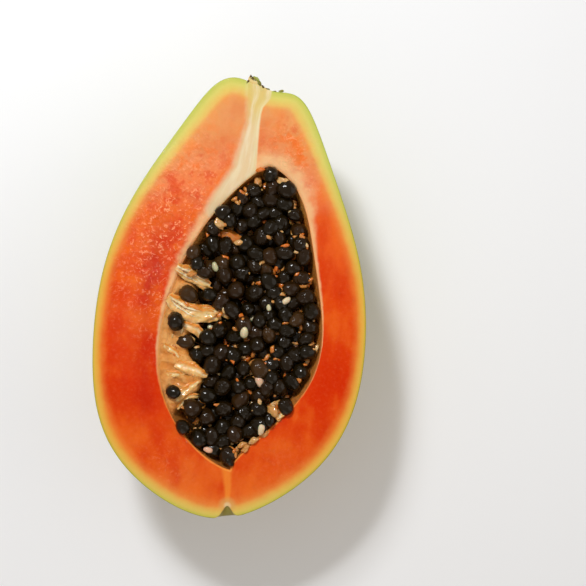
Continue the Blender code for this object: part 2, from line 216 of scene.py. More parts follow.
# Seeds that stand out: place and length of each
SEEDS_SEEN = (
    (7.2, 141.5, 5.9), (14.5, 135.9, 7.4), (18.7, 126.1, 5.9), (-3.9, 131.7, 5.8), (8.3, 131.7, 6.6),
    (2.9, 130.5, 5.8), (-11.0, 124.9, 6.0), (-5.7, 126.9, 6.2), (-14.7, 118.3, 6.2), (-8.2, 121.3, 5.8),
    (5.3, 125.6, 5.8), (10.3, 126.0, 5.8), (-3.1, 120.0, 5.8), (1.4, 122.0, 6.2), (13.1, 121.9, 6.6),
    (-22.0, 107.7, 5.8), (-17.5, 109.3, 5.8), (-20.5, 103.6, 5.8), (-17.2, 99.6, 5.8), (-1.3, 112.5, 6.6),
    (-22.9, 90.0, 7.8), (-14.5, 90.6, 6.0), (-4.2, 93.0, 7.4), (-27.4, 78.2, 6.8), (-23.2, 70.6, 6.4),
    (-18.3, 65.8, 6.8), (-26.3, 49.6, 5.6), (-18.7, 43.6, 7.4), (-21.6, 35.6, 6.0), (-15.0, 31.5, 6.6),
    (-9.7, 32.6, 6.6), (-12.4, 40.2, 7.0), (-2.3, 25.6, 7.4), (-1.3, 22.8, 3.6), (-0.2, 33.6, 6.6),
    (5.8, 35.4, 6.6),
    (20.1, 46.8, 6.2), (13.8, 40.7, 4.6), (9.2, 44.7, 7.0), (13.7, 58.5, 6.6), (16.8, 54.4, 6.6),
    (22.0, 56.9, 6.6), (8.3, 61.5, 7.4), (-12.3, 48.9, 6.6), (-11.3, 62.0, 7.0), (-4.6, 58.9, 6.6),
    (-6.7, 52.7, 6.6), (-13.8, 73.0, 6.6), (-8.4, 67.3, 7.0), (-3.0, 73.8, 6.6), (-3.2, 66.4, 6.6),
    (17.8, 73.5, 6.0),
)

# Pale seeds that never ripened: place, length and tint, from 0 cream to 1 pinkish
YOUNG_SEEDS = (
    (-12.0, 102.9, 4.4, 0.1), (0.9, 77.3, 5.6, 0.3), (-12.7, 76.1, 4.0, 0.2), (4.4, 82.5, 4.2, 0.2),
    (19.8, 82.1, 2.6, 0.3), (22.2, 73.8, 3.4, 0.9), (7.8, 55.3, 6.2, 0.8), (-7.7, 35.1, 2.6, 0.3),
    (-10.0, 25.8, 4.2, 0.9), (-6.9, 26.5, 2.4, 0.7), (-13.3, 53.6, 3.0, 0.1), (-23.7, 53.7, 3.6, 0.3),
    (16.3, 89.8, 4.2, 0.5), (10.1, 37.9, 4.8, 0.5), (16.8, 41.8, 3.4, 0.7), (9.6, 88.1, 3.2, 0.2),
)

# Lumps of loose pulp: place, length, heading, and tint from 0 orange to 1 cream
PULP_LUMPS = (
    (-7.2, 115.2, 9.5, -0.25, 0.15), (-10.5, 112.6, 5.0, -0.2, 0.75), (-3.4, 113.0, 4.2, 0.2, 0.7),
    (-12.5, 119.6, 5.0, -0.9, 0.7), (-16.2, 114.0, 4.2, -0.5, 0.55), (13.4, 115.2, 7.4, -0.25, 0.3),
    (14.2, 106.6, 6.0, 0.4, 0.4), (6.1, 97.1, 3.6, 0.3, 0.1), (17.7, 99.9, 6.2, 0.1, 0.2),
    (14.9, 96.2, 3.8, -0.9, 0.8), (16.1, 92.7, 4.6, 0.6, 0.45), (12.9, 139.2, 5.2, -0.5, 0.75),
    (2.6, 143.0, 3.6, 0.3, 0.0), (2.2, 138.6, 5.0, 1.4, 0.45),
    (0.4, 135.8, 5.2, 1.2, 0.3), (4.6, 136.6, 4.6, 0.4, 0.2), (-0.8, 132.6, 4.6, 0.2, 0.5),
    (20.4, 119.0, 5.4, -1.2, 0.4),
    (-13.0, 121.4, 3.6, 0.8, 0.3), (19.0, 108.4, 4.4, 0.9, 0.2), (11.2, 75.6, 3.8, 0.3, 0.4),
    (5.2, 28.8, 3.8, 0.7, 0.5), (8.0, 31.8, 4.0, 0.7, 0.7), (12.0, 35.4, 3.8, 0.6, 0.4),
    (16.5, 128.9, 4.6, 0.9, 0.5),
    (17.0, 122.7, 4.6, -0.8, 0.5), (8.7, 80.2, 5.6, 0.5, 0.35), (18.0, 77.9, 6.6, 1.2, 0.15),
    (5.4, 71.8, 3.4, 0.4, 0.6), (8.9, 70.9, 2.8, 1.2, 0.6), (14.5, 71.1, 3.0, 0.2, 0.6),
    (2.0, 64.2, 5.0, 0.7, 0.0), (3.9, 60.8, 3.4, -0.3, 0.1), (13.5, 48.9, 5.4, -0.4, 0.2),
    (15.5, 44.6, 6.4, -0.6, 0.6), (6.4, 41.1, 3.2, 0.4, 0.5), (-16.5, 37.7, 3.6, 0.7, 0.3),
    (3.3, 29.6, 4.0, 0.6, 0.6), (1.3, 27.3, 3.0, 1.0, 0.7), (-11.9, 65.6, 1.8, 0.0, 0.0),
    (3.4, 56.2, 4.2, 0.6, 0.2), (-6.0, 97.2, 3.2, -0.9, 0.2), (-22.6, 98.2, 4.0, 0.5, 0.4),
)

# Strands of membrane from the wall over the seeds: route with heights above the heap's top, and width
STRANDS = (
    (((-28.4, 101.4, 1.8), (-24.0, 98.8, 2.8), (-19.4, 96.6, 2.6), (-15.0, 94.6, 1.4)), 5.2),
    (((-27.0, 98.6, 1.2), (-22.0, 96.6, 2.0), (-17.0, 93.6, 1.6), (-13.8, 93.0, 0.6)), 2.6),
    (((-31.0, 89.0, 1.0), (-27.0, 85.6, 2.4), (-22.0, 82.9, 3.0), (-16.5, 82.2, 2.6), (-11.6, 83.2, 1.8)),
     6.6),
    (((-20.0, 83.0, 2.4), (-14.5, 83.8, 2.4), (-10.0, 83.8, 1.8), (-6.2, 81.6, 1.0)), 2.8),
    (((-20.5, 81.4, 2.0), (-15.0, 80.4, 1.8), (-9.4, 81.4, 0.8)), 2.4),
    (((-27.4, 86.8, 1.8), (-22.5, 85.4, 2.6), (-17.0, 85.0, 2.0), (-13.0, 85.4, 1.2)), 2.6),
    (((-27.5, 75.6, 0.8), (-23.0, 77.2, 2.0), (-18.3, 75.6, 1.8), (-15.4, 71.0, 0.8)), 3.6),
    (((-26.5, 61.0, 1.4), (-22.0, 60.2, 2.4), (-17.5, 58.9, 2.4), (-13.2, 57.0, 1.6)), 4.6),
    (((-27.5, 45.0, 0.8), (-24.0, 48.4, 2.2), (-20.4, 51.6, 2.4), (-16.8, 54.8, 1.8)), 3.0),
    (((-24.6, 43.0, 0.8), (-20.4, 47.6, 1.6), (-15.6, 48.6, 0.8)), 2.4),
    (((18.6, 42.0, 1.2), (16.6, 44.8, 1.8), (14.6, 48.0, 1.0)), 4.2),
    (((-30.6, 88.8, 1.8), (-26.6, 86.6, 3.7), (-21.8, 84.4, 4.2), (-17.0, 83.6, 3.4)), 1.1),
    (((-30.4, 87.6, 1.4), (-26.4, 84.6, 3.4), (-21.6, 81.8, 3.8), (-16.2, 80.8, 2.6)), 0.9),
    (((-28.2, 101.6, 2.2), (-23.8, 99.8, 3.9), (-19.2, 98.0, 3.6), (-16.4, 96.2, 2.2)), 1.2),
    (((-28.4, 100.0, 2.0), (-24.2, 97.6, 3.7), (-19.6, 95.4, 3.2)), 0.9),
    (((-30.0, 80.6, 1.2), (-25.0, 81.8, 1.6), (-20.4, 80.4, 1.8)), 1.3),
    (((-31.6, 68.6, 1.0), (-28.0, 66.6, 1.6), (-24.4, 63.4, 1.4), (-21.6, 63.0, 1.0)), 2.6),
    (((-31.0, 58.0, 1.0), (-27.4, 57.0, 1.6), (-22.6, 57.2, 1.8)), 2.0),
)

# Dried ends of the stalk and calyx: place, height above the face, length, heading, tint (0 brown, 1 green),
# and the draw of how they tip
DRY_BITS = (
    (-5.2, 178.6, -0.6, 2.6, 0.8, 0.1), (-3.2, 180.4, -0.8, 2.6, 0.3, 0.5),
    (-1.4, 180.6, -0.2, 3.2, -0.5, 0.9), (-0.2, 179.0, -0.4, 3.0, -1.0, 0.7),
    (1.4, 177.4, -0.8, 2.4, -0.8, 0.3), (6.2, 175.7, -0.6, 1.8, 0.2, 0.2), (9.2, 176.2, -0.5, 2.2, 0.1, 0.8),
    (-13.8, 179.4, -0.5, 1.4, 0.4, 0.1), (3.6, 176.5, -0.7, 2.0, -0.3, 0.6),
)
DRY_DRAW = 3

# Stub of the stalk: rows and steps of its mesh, its radius, its place across and along from the axis's end,
# and how far it reaches out from there
STALK_ROWS = 14
STALK_STEPS = 28
STALK_RADIUS = 4.7
STALK_ACROSS = -5.5
STALK_ALONG = -8.5
STALK_REACH = 6.2

# Stage: half the floor's width and how high the lights aim, in metres, and what the camera is over, on the
# cut face drawing
FLOOR_HALF = 3.0
LIGHTS_AIM_HEIGHT = 0.03
CAMERA_OVER = (19.8, 93.7, 0.0)

# Settings that many nodes share
SMOOTH = {"interpolation_type": "SMOOTHSTEP"}
TIMES = {"operation": "MULTIPLY"}
TIMES_ADD = {"operation": "MULTIPLY_ADD"}


def linear(code):
    """Linear red, green and blue of an sRGB hex colour."""
    shares = [int(code[i : i + 2], 16) / 255.0 for i in (1, 3, 5)]
    return tuple(v / 12.92 if v <= 0.04045 else ((v + 0.055) / 1.055) ** 2.4 for v in shares)


def opaque(colour):
    """Four numbers for a colour socket, from a hex code or a colour setting."""
    rgb = linear(colour) if isinstance(colour, str) else tuple(colour)
    return (*rgb, 1.0)


def per_mm(size):
    """Scale of a pattern on Object coordinates whose features are this many millimetres."""
    return 1.0 / (size * MM)


def give(node, inputs):
    """Sets or links inputs of a node, each by its name or its place."""
    for key, value in inputs.items():
        if isinstance(value, bpy.types.Node):
            value = value.outputs[0]
        if isinstance(value, bpy.types.NodeSocket):
            node.id_data.links.new(value, node.inputs[key])
        else:
            node.inputs[key].default_value = value


def adder(tree):
    """The function that adds nodes to a tree."""
    def add(kind, *inputs, stops=(), **words):
        """Adds a node with its inputs. Words with a capital are sockets, the others are its settings."""
        node = tree.nodes.new(kind if "Node" in kind else "ShaderNode" + kind)
        for name, value in words.items():
            if name[0].islower():
                setattr(node, name, value)
        if stops:
            first, *middle, last = stops
            for element, (place, colour) in zip(node.color_ramp.elements, (first, last)):
                element.position = place
                element.color = opaque(colour)
            for place, colour in middle:
                node.color_ramp.elements.new(place).color = opaque(colour)
        give(node, dict(enumerate(inputs)))
        give(node, {name.replace("_", " "): value for name, value in words.items() if name[0].isupper()})
        return node
    return add


def new_material(name, *attributes):
    """A node material, its shader, what adds nodes to it, the place on the object and some attributes."""
    material = bpy.data.materials.new(name)
    material.use_nodes = True
    add = adder(material.node_tree)
    place = add("TexCoord").outputs["Object"]
    fields = [add("Attribute", attribute_name=attribute).outputs["Fac"] for attribute in attributes]
    return material, material.node_tree.nodes["Principled BSDF"], add, place, *fields


def new_tree(name, **inputs):
    """Geometry Nodes tree that makes a mesh, with what adds nodes to it and its inputs."""
    tree = bpy.data.node_groups.new(name, "GeometryNodeTree")
    for label, kind in inputs.items():
        tree.interface.new_socket(label.replace("_", " "), in_out="INPUT", socket_type="NodeSocket" + kind)
    tree.interface.new_socket("Mesh", in_out="OUTPUT", socket_type="NodeSocketGeometry")
    add = adder(tree)
    return tree, add, add("NodeGroupInput").outputs


def layered(add, colour, *layers):
    """Colour with others laid over it, each by a mask or by a smooth rise over a range of some value."""
    for mask, *rise, over in layers:
        if rise:
            mask = add("MapRange", mask, *rise, **SMOOTH)
        mix = add("Mix", mask, data_type="RGBA")
        give(mix, {6: colour, 7: opaque(over) if isinstance(over, str) else over})
        colour = mix.outputs[2]
    return colour


def smooth_step(value):
    """Smooth rise from 0 to 1 as a value goes from 0 to 1."""
    value = np.clip(value, 0.0, 1.0)
    return value * value * (3.0 - 2.0 * value)


def girth(stations, angle):
    """Smooth value at an angle along the fruit, through evenly spaced stations."""
    places = np.cos(np.linspace(0.0, math.pi, len(stations)))
    series = chebyshev.chebfit(places, stations, len(stations) - 1)
    return chebyshev.chebval(np.cos(angle), series)


@functools.cache
def fruit_axis():
    """Angles, places and headings along the fruit's axis."""
    angles = np.linspace(0.0, math.pi, AXIS_STEPS + 1)
    shares = (1.0 - np.cos(angles)) / 2.0
    headings = NECK_LEAN * smooth_step((shares - LEAN_STARTS_AT) / (1.0 - LEAN_STARTS_AT))
    steps = np.diff(shares, prepend=0.0) * AXIS_LENGTH
    x = AXIS_START[0] + np.cumsum(np.sin(headings) * steps)
    y = AXIS_START[1] + np.cumsum(np.cos(headings) * steps)
    return angles, x, y, headings


def beside_axis(angle, across, along):
    """Places on the cut face that lie across and along from places on the fruit's axis."""
    angles, x, y, headings = fruit_axis()
    heading = np.interp(angle, angles, headings)
    x = np.interp(angle, angles, x) + across * np.cos(heading) + along * np.sin(heading)
    y = np.interp(angle, angles, y) - across * np.sin(heading) + along * np.cos(heading)
    return x, y


def skin_points(angle, turn):
    """Skin at angles along the fruit and turns round it, from the left rim under it to the right."""
    left = np.sin(angle) * girth(LEFT_GIRTH, angle)
    right = np.sin(angle) * girth(RIGHT_GIRTH, angle)
    depth = np.sin(angle) * girth(DEPTH_GIRTH, angle)
    lobe = np.sin(turn) * (1.0 - np.cos(LOBES * (turn - math.pi / 2.0))) / 2.0
    size = 1.0 - LOBE_RELIEF * lobe
    dish = STEM_DISH_DEPTH * np.exp(-(((math.pi - angle) / STEM_DISH_SPREAD) ** 2))
    side = np.where(turn < math.pi / 2.0, left, right)
    x, y = beside_axis(angle, -np.cos(turn) * side * size, -dish)
    z = -depth * np.sin(turn) * size
    return np.stack([x, y, z], axis=-1)


def cavity_sides(angle):
    """Half-widths of the cavity to the left and right of its axis."""
    taper = np.sin(angle) ** CAVITY_TIP_SHARPNESS
    return taper * girth(CAVITY_LEFT, angle), taper * girth(CAVITY_RIGHT, angle)


def cavity_point(angle, across):
    """Place on the cut face in the cavity, across running from -1 at the left rim to 1 at the right."""
    left, right = cavity_sides(angle)
    sideways = (right - left) / 2.0 + across * (right + left) / 2.0
    along = CAVITY_LENGTH * (1.0 - np.cos(angle)) / 2.0
    x = CAVITY_START[0] + along * math.sin(CAVITY_TURN) + sideways * math.cos(CAVITY_TURN)
    y = CAVITY_START[1] + along * math.cos(CAVITY_TURN) - sideways * math.sin(CAVITY_TURN)
    return x, y


def cavity_place(x, y):
    """The reverse of cavity_point, with a third value that is true inside the rim."""
    dx = x - CAVITY_START[0]
    dy = y - CAVITY_START[1]
    along = dx * math.sin(CAVITY_TURN) + dy * math.cos(CAVITY_TURN)
    sideways = dx * math.cos(CAVITY_TURN) - dy * math.sin(CAVITY_TURN)
    angle = np.arccos(np.clip(1.0 - 2.0 * along / CAVITY_LENGTH, -0.9999, 0.9999))
    left, right = cavity_sides(angle)
    across = (sideways - (right - left) / 2.0) / ((right + left) / 2.0)
    inside = (along > 0.0) & (along < CAVITY_LENGTH) & (np.abs(across) <= 1.0)
    return angle, np.clip(across, -1.0, 1.0), inside


def cavity_depth(angle, across):
    """Depth of the cavity wall below the cut face."""
    bowl = (1.0 - np.abs(across) ** CAVITY_FLATNESS) ** CAVITY_WALL_SLOPE
    beside = ((across - SHELF_ACROSS) / SHELF_WIDTH) ** 2
    ahead = (((1.0 - np.cos(angle)) / 2.0 - SHELF_ALONG) / SHELF_REACH) ** 2
    return CAVITY_DEPTH * np.sin(angle) * bowl * (1.0 - SHELF_FILL * np.exp(-beside - ahead))


def heap_dip(angle, across):
    """Depth of the heap's top below the cut face."""
    return HEAP_RIM_DIP + HEAP_MIDDLE_DIP * np.sin(angle) * (1.0 - across * across)


def fractal(points, size, octaves=3):
    """Smooth random values of about -1 to 1 at points, with features of a size in millimetres."""
    return np.array([noise.fractal(Vector(point) / size, 1.0, 2.0, octaves) for point in points])


def table_value(table, y):
    """Value of a table at distances up the fruit."""
    return np.interp(y, *np.transpose(table))


def distance_to_path(points, path):
    """Shortest distance in the plane from each point to a path of straight stretches."""
    best = np.full(len(points), np.inf)
    for start, end in zip(path[:-1], path[1:]):
        stretch = end - start
        share = np.clip((points - start) @ stretch / max(stretch @ stretch, 1e-9), 0.0, 1.0)
        away = points - start - share[:, None] * stretch
        best = np.minimum(best, np.hypot(away[:, 0], away[:, 1]))
    return best


@functools.cache
def shift_to_model():
    """What moves a point of the cut face drawing, in millimetres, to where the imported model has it."""
    angle = np.linspace(0.0, math.pi, AXIS_STEPS + 1)[:, None]
    rim = skin_points(angle, np.array([[0.0, math.pi]])).reshape(-1, 3)
    low, high = (np.array(corner) / MM for corner in FRUIT_BOX)
    across = (low[0] + high[0] - rim[:, 0].min() - rim[:, 0].max()) / 2.0
    return np.array([across, low[1] - rim[:, 1].min(), high[2]])


def in_metres(points):
    """Points of the cut face drawing, in millimetres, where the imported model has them."""
    return (np.asarray(points) + shift_to_model()) * MM


def placed(name, data):
    """New object in the scene."""
    piece = bpy.data.objects.new(name, data)
    bpy.context.scene.collection.objects.link(piece)
    return piece


def store(mesh, values, kind="FLOAT"):
    """Gives the points of a mesh their values, as attributes of one kind."""
    number = np.int32 if kind == "INT" else np.float32
    field = "vector" if kind == "FLOAT_VECTOR" else "value"
    for name, row in values.items():
        mesh.attributes.new(name, kind, "POINT").data.foreach_set(field, np.asarray(row, number).ravel())


def new_piece(name, points, faces, materials, values, kinds=None):
    """Smooth closed mesh object from points in millimetres, with values for each point as attributes."""
    mesh = bpy.data.meshes.new(name)
    mesh.from_pydata(in_metres(points).tolist(), [], [tuple(face) for face in faces])
    for material in materials:
        mesh.materials.append(material)
    if kinds is not None:
        mesh.polygons.foreach_set("material_index", kinds)
    store(mesh, values)
    work = bmesh.new()
    work.from_mesh(mesh)
    bmesh.ops.remove_doubles(work, verts=work.verts, dist=0.003 * MM)
    bmesh.ops.recalc_face_normals(work, faces=work.faces)
    work.to_mesh(mesh)
    work.free()
    mesh.shade_smooth()
    return placed(name, mesh)


def loft_faces(rows, count):
    """Quads between rings of the same number of points, with both ends closed."""
    faces = [tuple(range(count)), tuple(range((rows - 1) * count, rows * count))]
    for near in range(0, (rows - 1) * count, count):
        for j in range(count):
            after = (j + 1) % count
            faces.append((near + j, near + after, near + count + after, near + count + j))
    return faces


def hand_in(piece, node):
    """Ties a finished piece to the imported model."""
    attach(piece, "root")
    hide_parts(node)


def skin_material(settings):
    # Ripening papaya peel: a thin waxy skin, satin, yellow-green with orange patches and dark streaks
    material, shader, add, place, length, turn = new_material("papaya_peel", "length", "turn")
    # Streaks run from end to end, so their pattern is stretched along the fruit
    streaked = add("Mapping", add("CombineXYZ", turn, length), Scale=(6.0, 1.1, 1.0))
    streaks = add("TexNoise", streaked, Scale=1.6, Detail=5.0, Roughness=0.55)
    patches = add("TexNoise", place, Scale=per_mm(55.0), Detail=3.0)
    mottle = add("TexNoise", place, Scale=per_mm(7.0), Detail=5.0, Roughness=0.65)
    uneven = add("Math", patches, 0.55, -0.275, **TIMES_ADD)
    ripeness = add("Math", length, uneven, operation="ADD")
    base = add("ValToRGB", ripeness, stops=(
        (0.0, "#7F7A2A"), (0.06, "#A8790F"), (0.25, settings.skin_yellow), (0.5, "#A89A12"),
        (0.72, settings.skin_green), (1.0, "#B9BE5C")))
    colour = layered(
        add, base, (patches, 0.55, 0.78, 0.0, 0.7, "#C08A1C"), (streaks, 0.5, 0.8, 0.0, 0.6, "#6F7410"),
        (mottle, 0.5, 0.75, 0.0, 0.35, "#8C8F2A"))
    relief = add("Math", mottle, streaks, operation="ADD")
    bump = add("Bump", Strength=0.35, Distance=0.4 * MM, Height=relief)
    gloss = add("MapRange", mottle, 0.0, 1.0, 0.34, 0.5)
    give(shader, {"Base Color": colour, "Roughness": gloss, "Normal": bump, "IOR": 1.45})
    return material


def flesh_material(settings):
    # Cut papaya flesh: moist and slightly translucent, orange-red, with a yellow rim under the peel and pale
    # juice threads painted into its colour as painted highlights
    names = ("rind", "band", "strip_left", "strip_right", "strip_share", "streak", "crease", "pit", "wet")
    material, shader, add, place, *fields = new_material("papaya_cut_flesh", *names)
    rind, band, strip_left, strip_right, strip_share, streak, crease, pit, wet = fields
    up_fruit = add("SeparateXYZ", place).outputs["Y"]
    # The last two stand for the torn cells of the cut, which are finer in real flesh and are drawn 1.5 mm
    # across so that they show
    broad, patch, edge, clump, gaps, grain = (
        add("TexNoise", place, Scale=per_mm(size), Detail=detail, Roughness=roughness)
        for size, detail, roughness in (
            (24.0, 2.0, 0.5), (6.5, 4.0, 0.6), (5.0, 4.0, 0.6), (7.0, 2.0, 0.5), (1.5, 1.0, 0.5),
            (1.5, 3.0, 0.6)))
    fibres = add("Mapping", place, Scale=(1.0, 0.6, 1.0))
    blotch = add("TexNoise", fibres, Scale=per_mm(11.0), Detail=3.0, Roughness=0.5)
    folds = add("TexNoise", place, Scale=per_mm(3.6), Detail=3.0, Roughness=0.6, Distortion=0.4,
                noise_type="RIDGED_MULTIFRACTAL")

    # Juice stands in short fine threads along the torn cells: contour lines of a noise, broken up by another.
    # They raise the clear coat's relief, and their pale colour laid over the flesh is a painted highlight of
    # the juice glints
    course = add("TexNoise", place, Scale=per_mm(2.5), Detail=2.0, Distortion=0.8)
    off_course = add("Math", course, 0.5, operation="SUBTRACT")
    off_course = add("Math", off_course, operation="ABSOLUTE")
    line = add("MapRange", off_course, 0.055, 0.0, **SMOOTH)
    broken = add("MapRange", gaps, 0.44, 0.58, **SMOOTH)
    threads = add("Math", line, broken, **TIMES)

    up = add("MapRange", up_fruit, -0.091, 0.091)
    shifted = add("Math", broad, 0.2, up, **TIMES_ADD)
    flesh = add("ValToRGB", shifted, stops=(
        (0.08, "#E47630"), (0.22, "#E05814"), (0.4, settings.flesh_low), (0.6, settings.flesh_middle),
        (0.76, "#E25C20"), (0.88, "#E68654"), (0.96, settings.flesh_neck), (1.0, "#E0955A")))
    towards_neck = add("MapRange", up, 0.5, 0.85, **SMOOTH)
    deepest = add("MapRange", towards_neck, 0.0, 1.0, 0.6, 0.18)
    fresh = add("MapRange", wet, 0.1, 0.7, 0.0, 0.65)
    streaked = add("Math", streak, blotch, **TIMES)

    # Yellow rim under the peel, greener towards both ends
    rind_wavy = add("Math", edge, 0.5, rind, **TIMES_ADD)
    rim_mask = add("MapRange", rind_wavy, 1.9, 0.55, 0.0, 0.97, **SMOOTH)
    rim_low = add("ValToRGB", rind, stops=(
        (0.0, "#94942A"), (0.08, "#C2AE3C"), (0.25, "#DDB04A"), (0.6, settings.rim_yellow), (1.0, "#E58A38")))
    rim_neck = add("ValToRGB", rind, stops=(
        (0.0, "#A0AC44"), (0.08, "#BEC45C"), (0.35, settings.rim_green), (0.75, "#E0C466"), (1.0, "#E6A055")))
    towards_tip = add("MapRange", up, 0.18, 0.0, 0.0, 0.6, **SMOOTH)
    greener = add("Math", towards_neck, towards_tip, operation="MAXIMUM")
    rim_colour = layered(add, rim_low, (greener, rim_neck))

    # Pale band along the cavity, and the core strip
    band_wavy = add("Math", edge, 1.4, band, **TIMES_ADD)
    band_colour = layered(add, opaque("#EBBE88"), (up, 0.4, 0.25, "#EE9C46"))
    left_wavy = add("Math", edge, 3.0, strip_left, **TIMES_ADD)
    left_mask = add("MapRange", left_wavy, 0.0, 4.4, **SMOOTH)
    right_mask = add("MapRange", strip_right, -0.3, 0.6, **SMOOTH)
    strip_mask = add("Math", left_mask, right_mask, **TIMES)
    stretched = add("Mapping", add("CombineXYZ", strip_share, up_fruit), Scale=(4.0, 45.0, 1.0))
    strands = add("TexNoise", stretched, Scale=1.0, Detail=3.0, Roughness=0.6)
    strip_colour = layered(
        add, opaque(settings.strip_cream), (up, 0.86, 0.95, "#D8BE74"),
        (strands, 0.4, 0.7, 0.0, 0.7, "#E8DCBC"))
    strip_line = add("MapRange", strip_right, 3.2, 1.0, 0.0, 0.35, **SMOOTH)
    strip_lined = add("Math", strip_line, strip_mask, **TIMES)
    colour = layered(
        add, flesh,
        (blotch, 0.47, 0.68, 0.0, deepest, "#CE2A00"), (blotch, 0.53, 0.32, 0.0, 0.45, "#EC7020"),
        (patch, 0.5, 0.64, 0.0, fresh, "#D83400"), (patch, 0.48, 0.36, 0.0, fresh, "#EC6808"),
        (grain, 0.55, 0.7, 0.0, 0.12, "#EE7C44"), (streaked, "#BE1E00"),
        (crease, 1.7, 0.4, 0.0, 0.7, "#F08C30"), (rim_mask, rim_colour),
        (band_wavy, 2.2, 1.0, 0.0, 0.85, band_colour), (strip_mask, strip_colour), (strip_lined, "#DCD09A"),
        (pit, 4.6, 2.0, 0.0, 0.6, "#D4A85E"), (pit, 2.0, 0.8, 0.0, 0.6, "#E2CFA4"))

    # The core strip and the rim are drier and closer, so the relief fades there
    firm = add("Math", strip_mask, rim_mask, operation="MAXIMUM")
    soft = add("MapRange", firm, 0.0, 1.0, 1.0, 0.15)
    torn = add("MapRange", wet, 0.0, 1.0, 0.12, 1.1)
    clumps = add("MapRange", clump, 0.36, 0.56, 0.35, 1.2, **SMOOTH)
    depth = add("Math", add("Math", soft, torn, **TIMES), clumps, **TIMES)
    threads = add("Math", threads, depth, **TIMES)
    # How strongly the threads show as painted highlights in the colour, most where the flesh is wet
    seen = add("MapRange", wet, 0.05, 0.6, 0.06, 0.62)
    painted_glint_threads = add("Math", threads, seen, use_clamp=True, **TIMES)
    colour = layered(add, colour, (painted_glint_threads, "#FBAE7C"))
    relief = add("Math", folds, 0.55, grain, **TIMES_ADD)
    bump = add("Bump", Strength=1.0, Distance=0.5 * MM, Height=add("Math", relief, depth, **TIMES))
    # Juice lies on the torn cells in small bright ridges, so the clear coat has a sharper relief of its own
    ridges = add("TexNoise", place, Scale=per_mm(2.0), Detail=4.0, Roughness=0.6, Distortion=1.2)
    juice = add("Math", threads, 0.3, add("Math", ridges, depth, **TIMES), **TIMES_ADD)
    coat_bump = add("Bump", Strength=1.0, Distance=1.8 * MM, Height=juice, Normal=bump)
    give(shader, {
        "Base Color": colour, "Roughness": add("MapRange", grain, 0.0, 1.0, 0.2, 0.36), "Normal": bump,
        "IOR": 1.36, "Specular IOR Level": 0.1, "Coat Weight": add("MapRange", wet, 0.0, 1.0, 0.12, 0.75),
        "Coat Normal": coat_bump, "Coat Roughness": 0.05, "Coat IOR": 1.36, "Subsurface Weight": 0.2,
        "Subsurface Radius": (1.0, 0.4, 0.15), "Subsurface Scale": 1.5 * MM})
    return material


def wall_material(settings):
    # Inner wall of the fruit where the seeds hung: soft fibrous tissue, tan-orange, paler at the rim and
    # darker deeper down, as painted shade in the cavity
    material, shader, add, place, depth, shelf, fold = new_material(
        "papaya_inner_wall", "depth", "shelf", "fold")
    soft = add("TexNoise", place, Scale=per_mm(7.0), Detail=4.0, Roughness=0.6)
    fibre = add("TexNoise", place, Scale=per_mm(1.6), Detail=5.0, Roughness=0.7, Distortion=1.2)
    # The colour darkens towards dark brown with depth below the cut face: painted shade in the cavity
    share = add("MapRange", add("Math", soft, 4.0, depth, **TIMES_ADD), 1.5, 18.0)
    base = add("ValToRGB", share, stops=(
        (0.0, "#E89C50"), (0.4, settings.wall_tan), (0.65, "#CE7C2C"), (1.0, "#5E2A0C")))
    # Off the shelf, at the lower rim and the right side, the wall is darkened towards brown: painted shade
    # down among the seeds
    colour = layered(
        add, base, (add("MapRange", shelf, 0.0, 1.0, 0.5, 0.0), "#A04C16"),
        (soft, 0.5, 0.68, 0.0, 0.6, "#E88624"), (fibre, 0.55, 0.72, 0.0, 0.5, "#F2C486"),
        # The fold layers darken the torn folds' hollows and lighten their crests: painted shade and painted
        # light
        (fibre, 0.42, 0.28, 0.0, 0.6, "#A85A22"), (fold, 0.0, -0.9, 0.0, 0.5, "#C86C14"),
        (fold, 0.25, 0.9, 0.0, 0.5, "#F2B468"))
    give(shader, {
        "Base Color": colour, "Normal": add("Bump", Strength=1.0, Distance=0.9 * MM, Height=fibre),
        "Roughness": 0.35, "IOR": 1.37, "Coat Weight": 0.3, "Coat Roughness": 0.12,
        "Subsurface Weight": 0.1, "Subsurface Scale": 1.5 * MM})
    return material


def seed_material(settings):
    # Fresh papaya seed: a hard black seed in a thin wet jelly coat, mirror-bright highlights
    material, shader, add, place, tone, wrinkle = new_material("papaya_seed_coat", "tone", "wrinkle")
    soft = add("TexNoise", place, Scale=per_mm(4.0), Detail=2.0)
    ridges = add("TexNoise", place, Scale=per_mm(1.8), Detail=2.0, noise_type="RIDGED_MULTIFRACTAL")
    colour = add("ValToRGB", add("Math", soft, 0.3, tone, **TIMES_ADD), stops=(
        (0.15, settings.seed_black), (0.6, "#221404"), (0.85, "#2E1B08"), (1.0, "#3C260E")))
    bump = add("Bump", Strength=1.0, Distance=0.7 * MM, Height=add("Math", ridges, wrinkle, **TIMES))
    give(shader, {
        "Base Color": colour, "Normal": bump, "Coat Normal": bump, "Roughness": 0.35, "IOR": 1.35,
        "Specular IOR Level": 0.1, "Coat Weight": 0.68, "Coat Roughness": 0.06, "Coat IOR": 1.36})
    return material


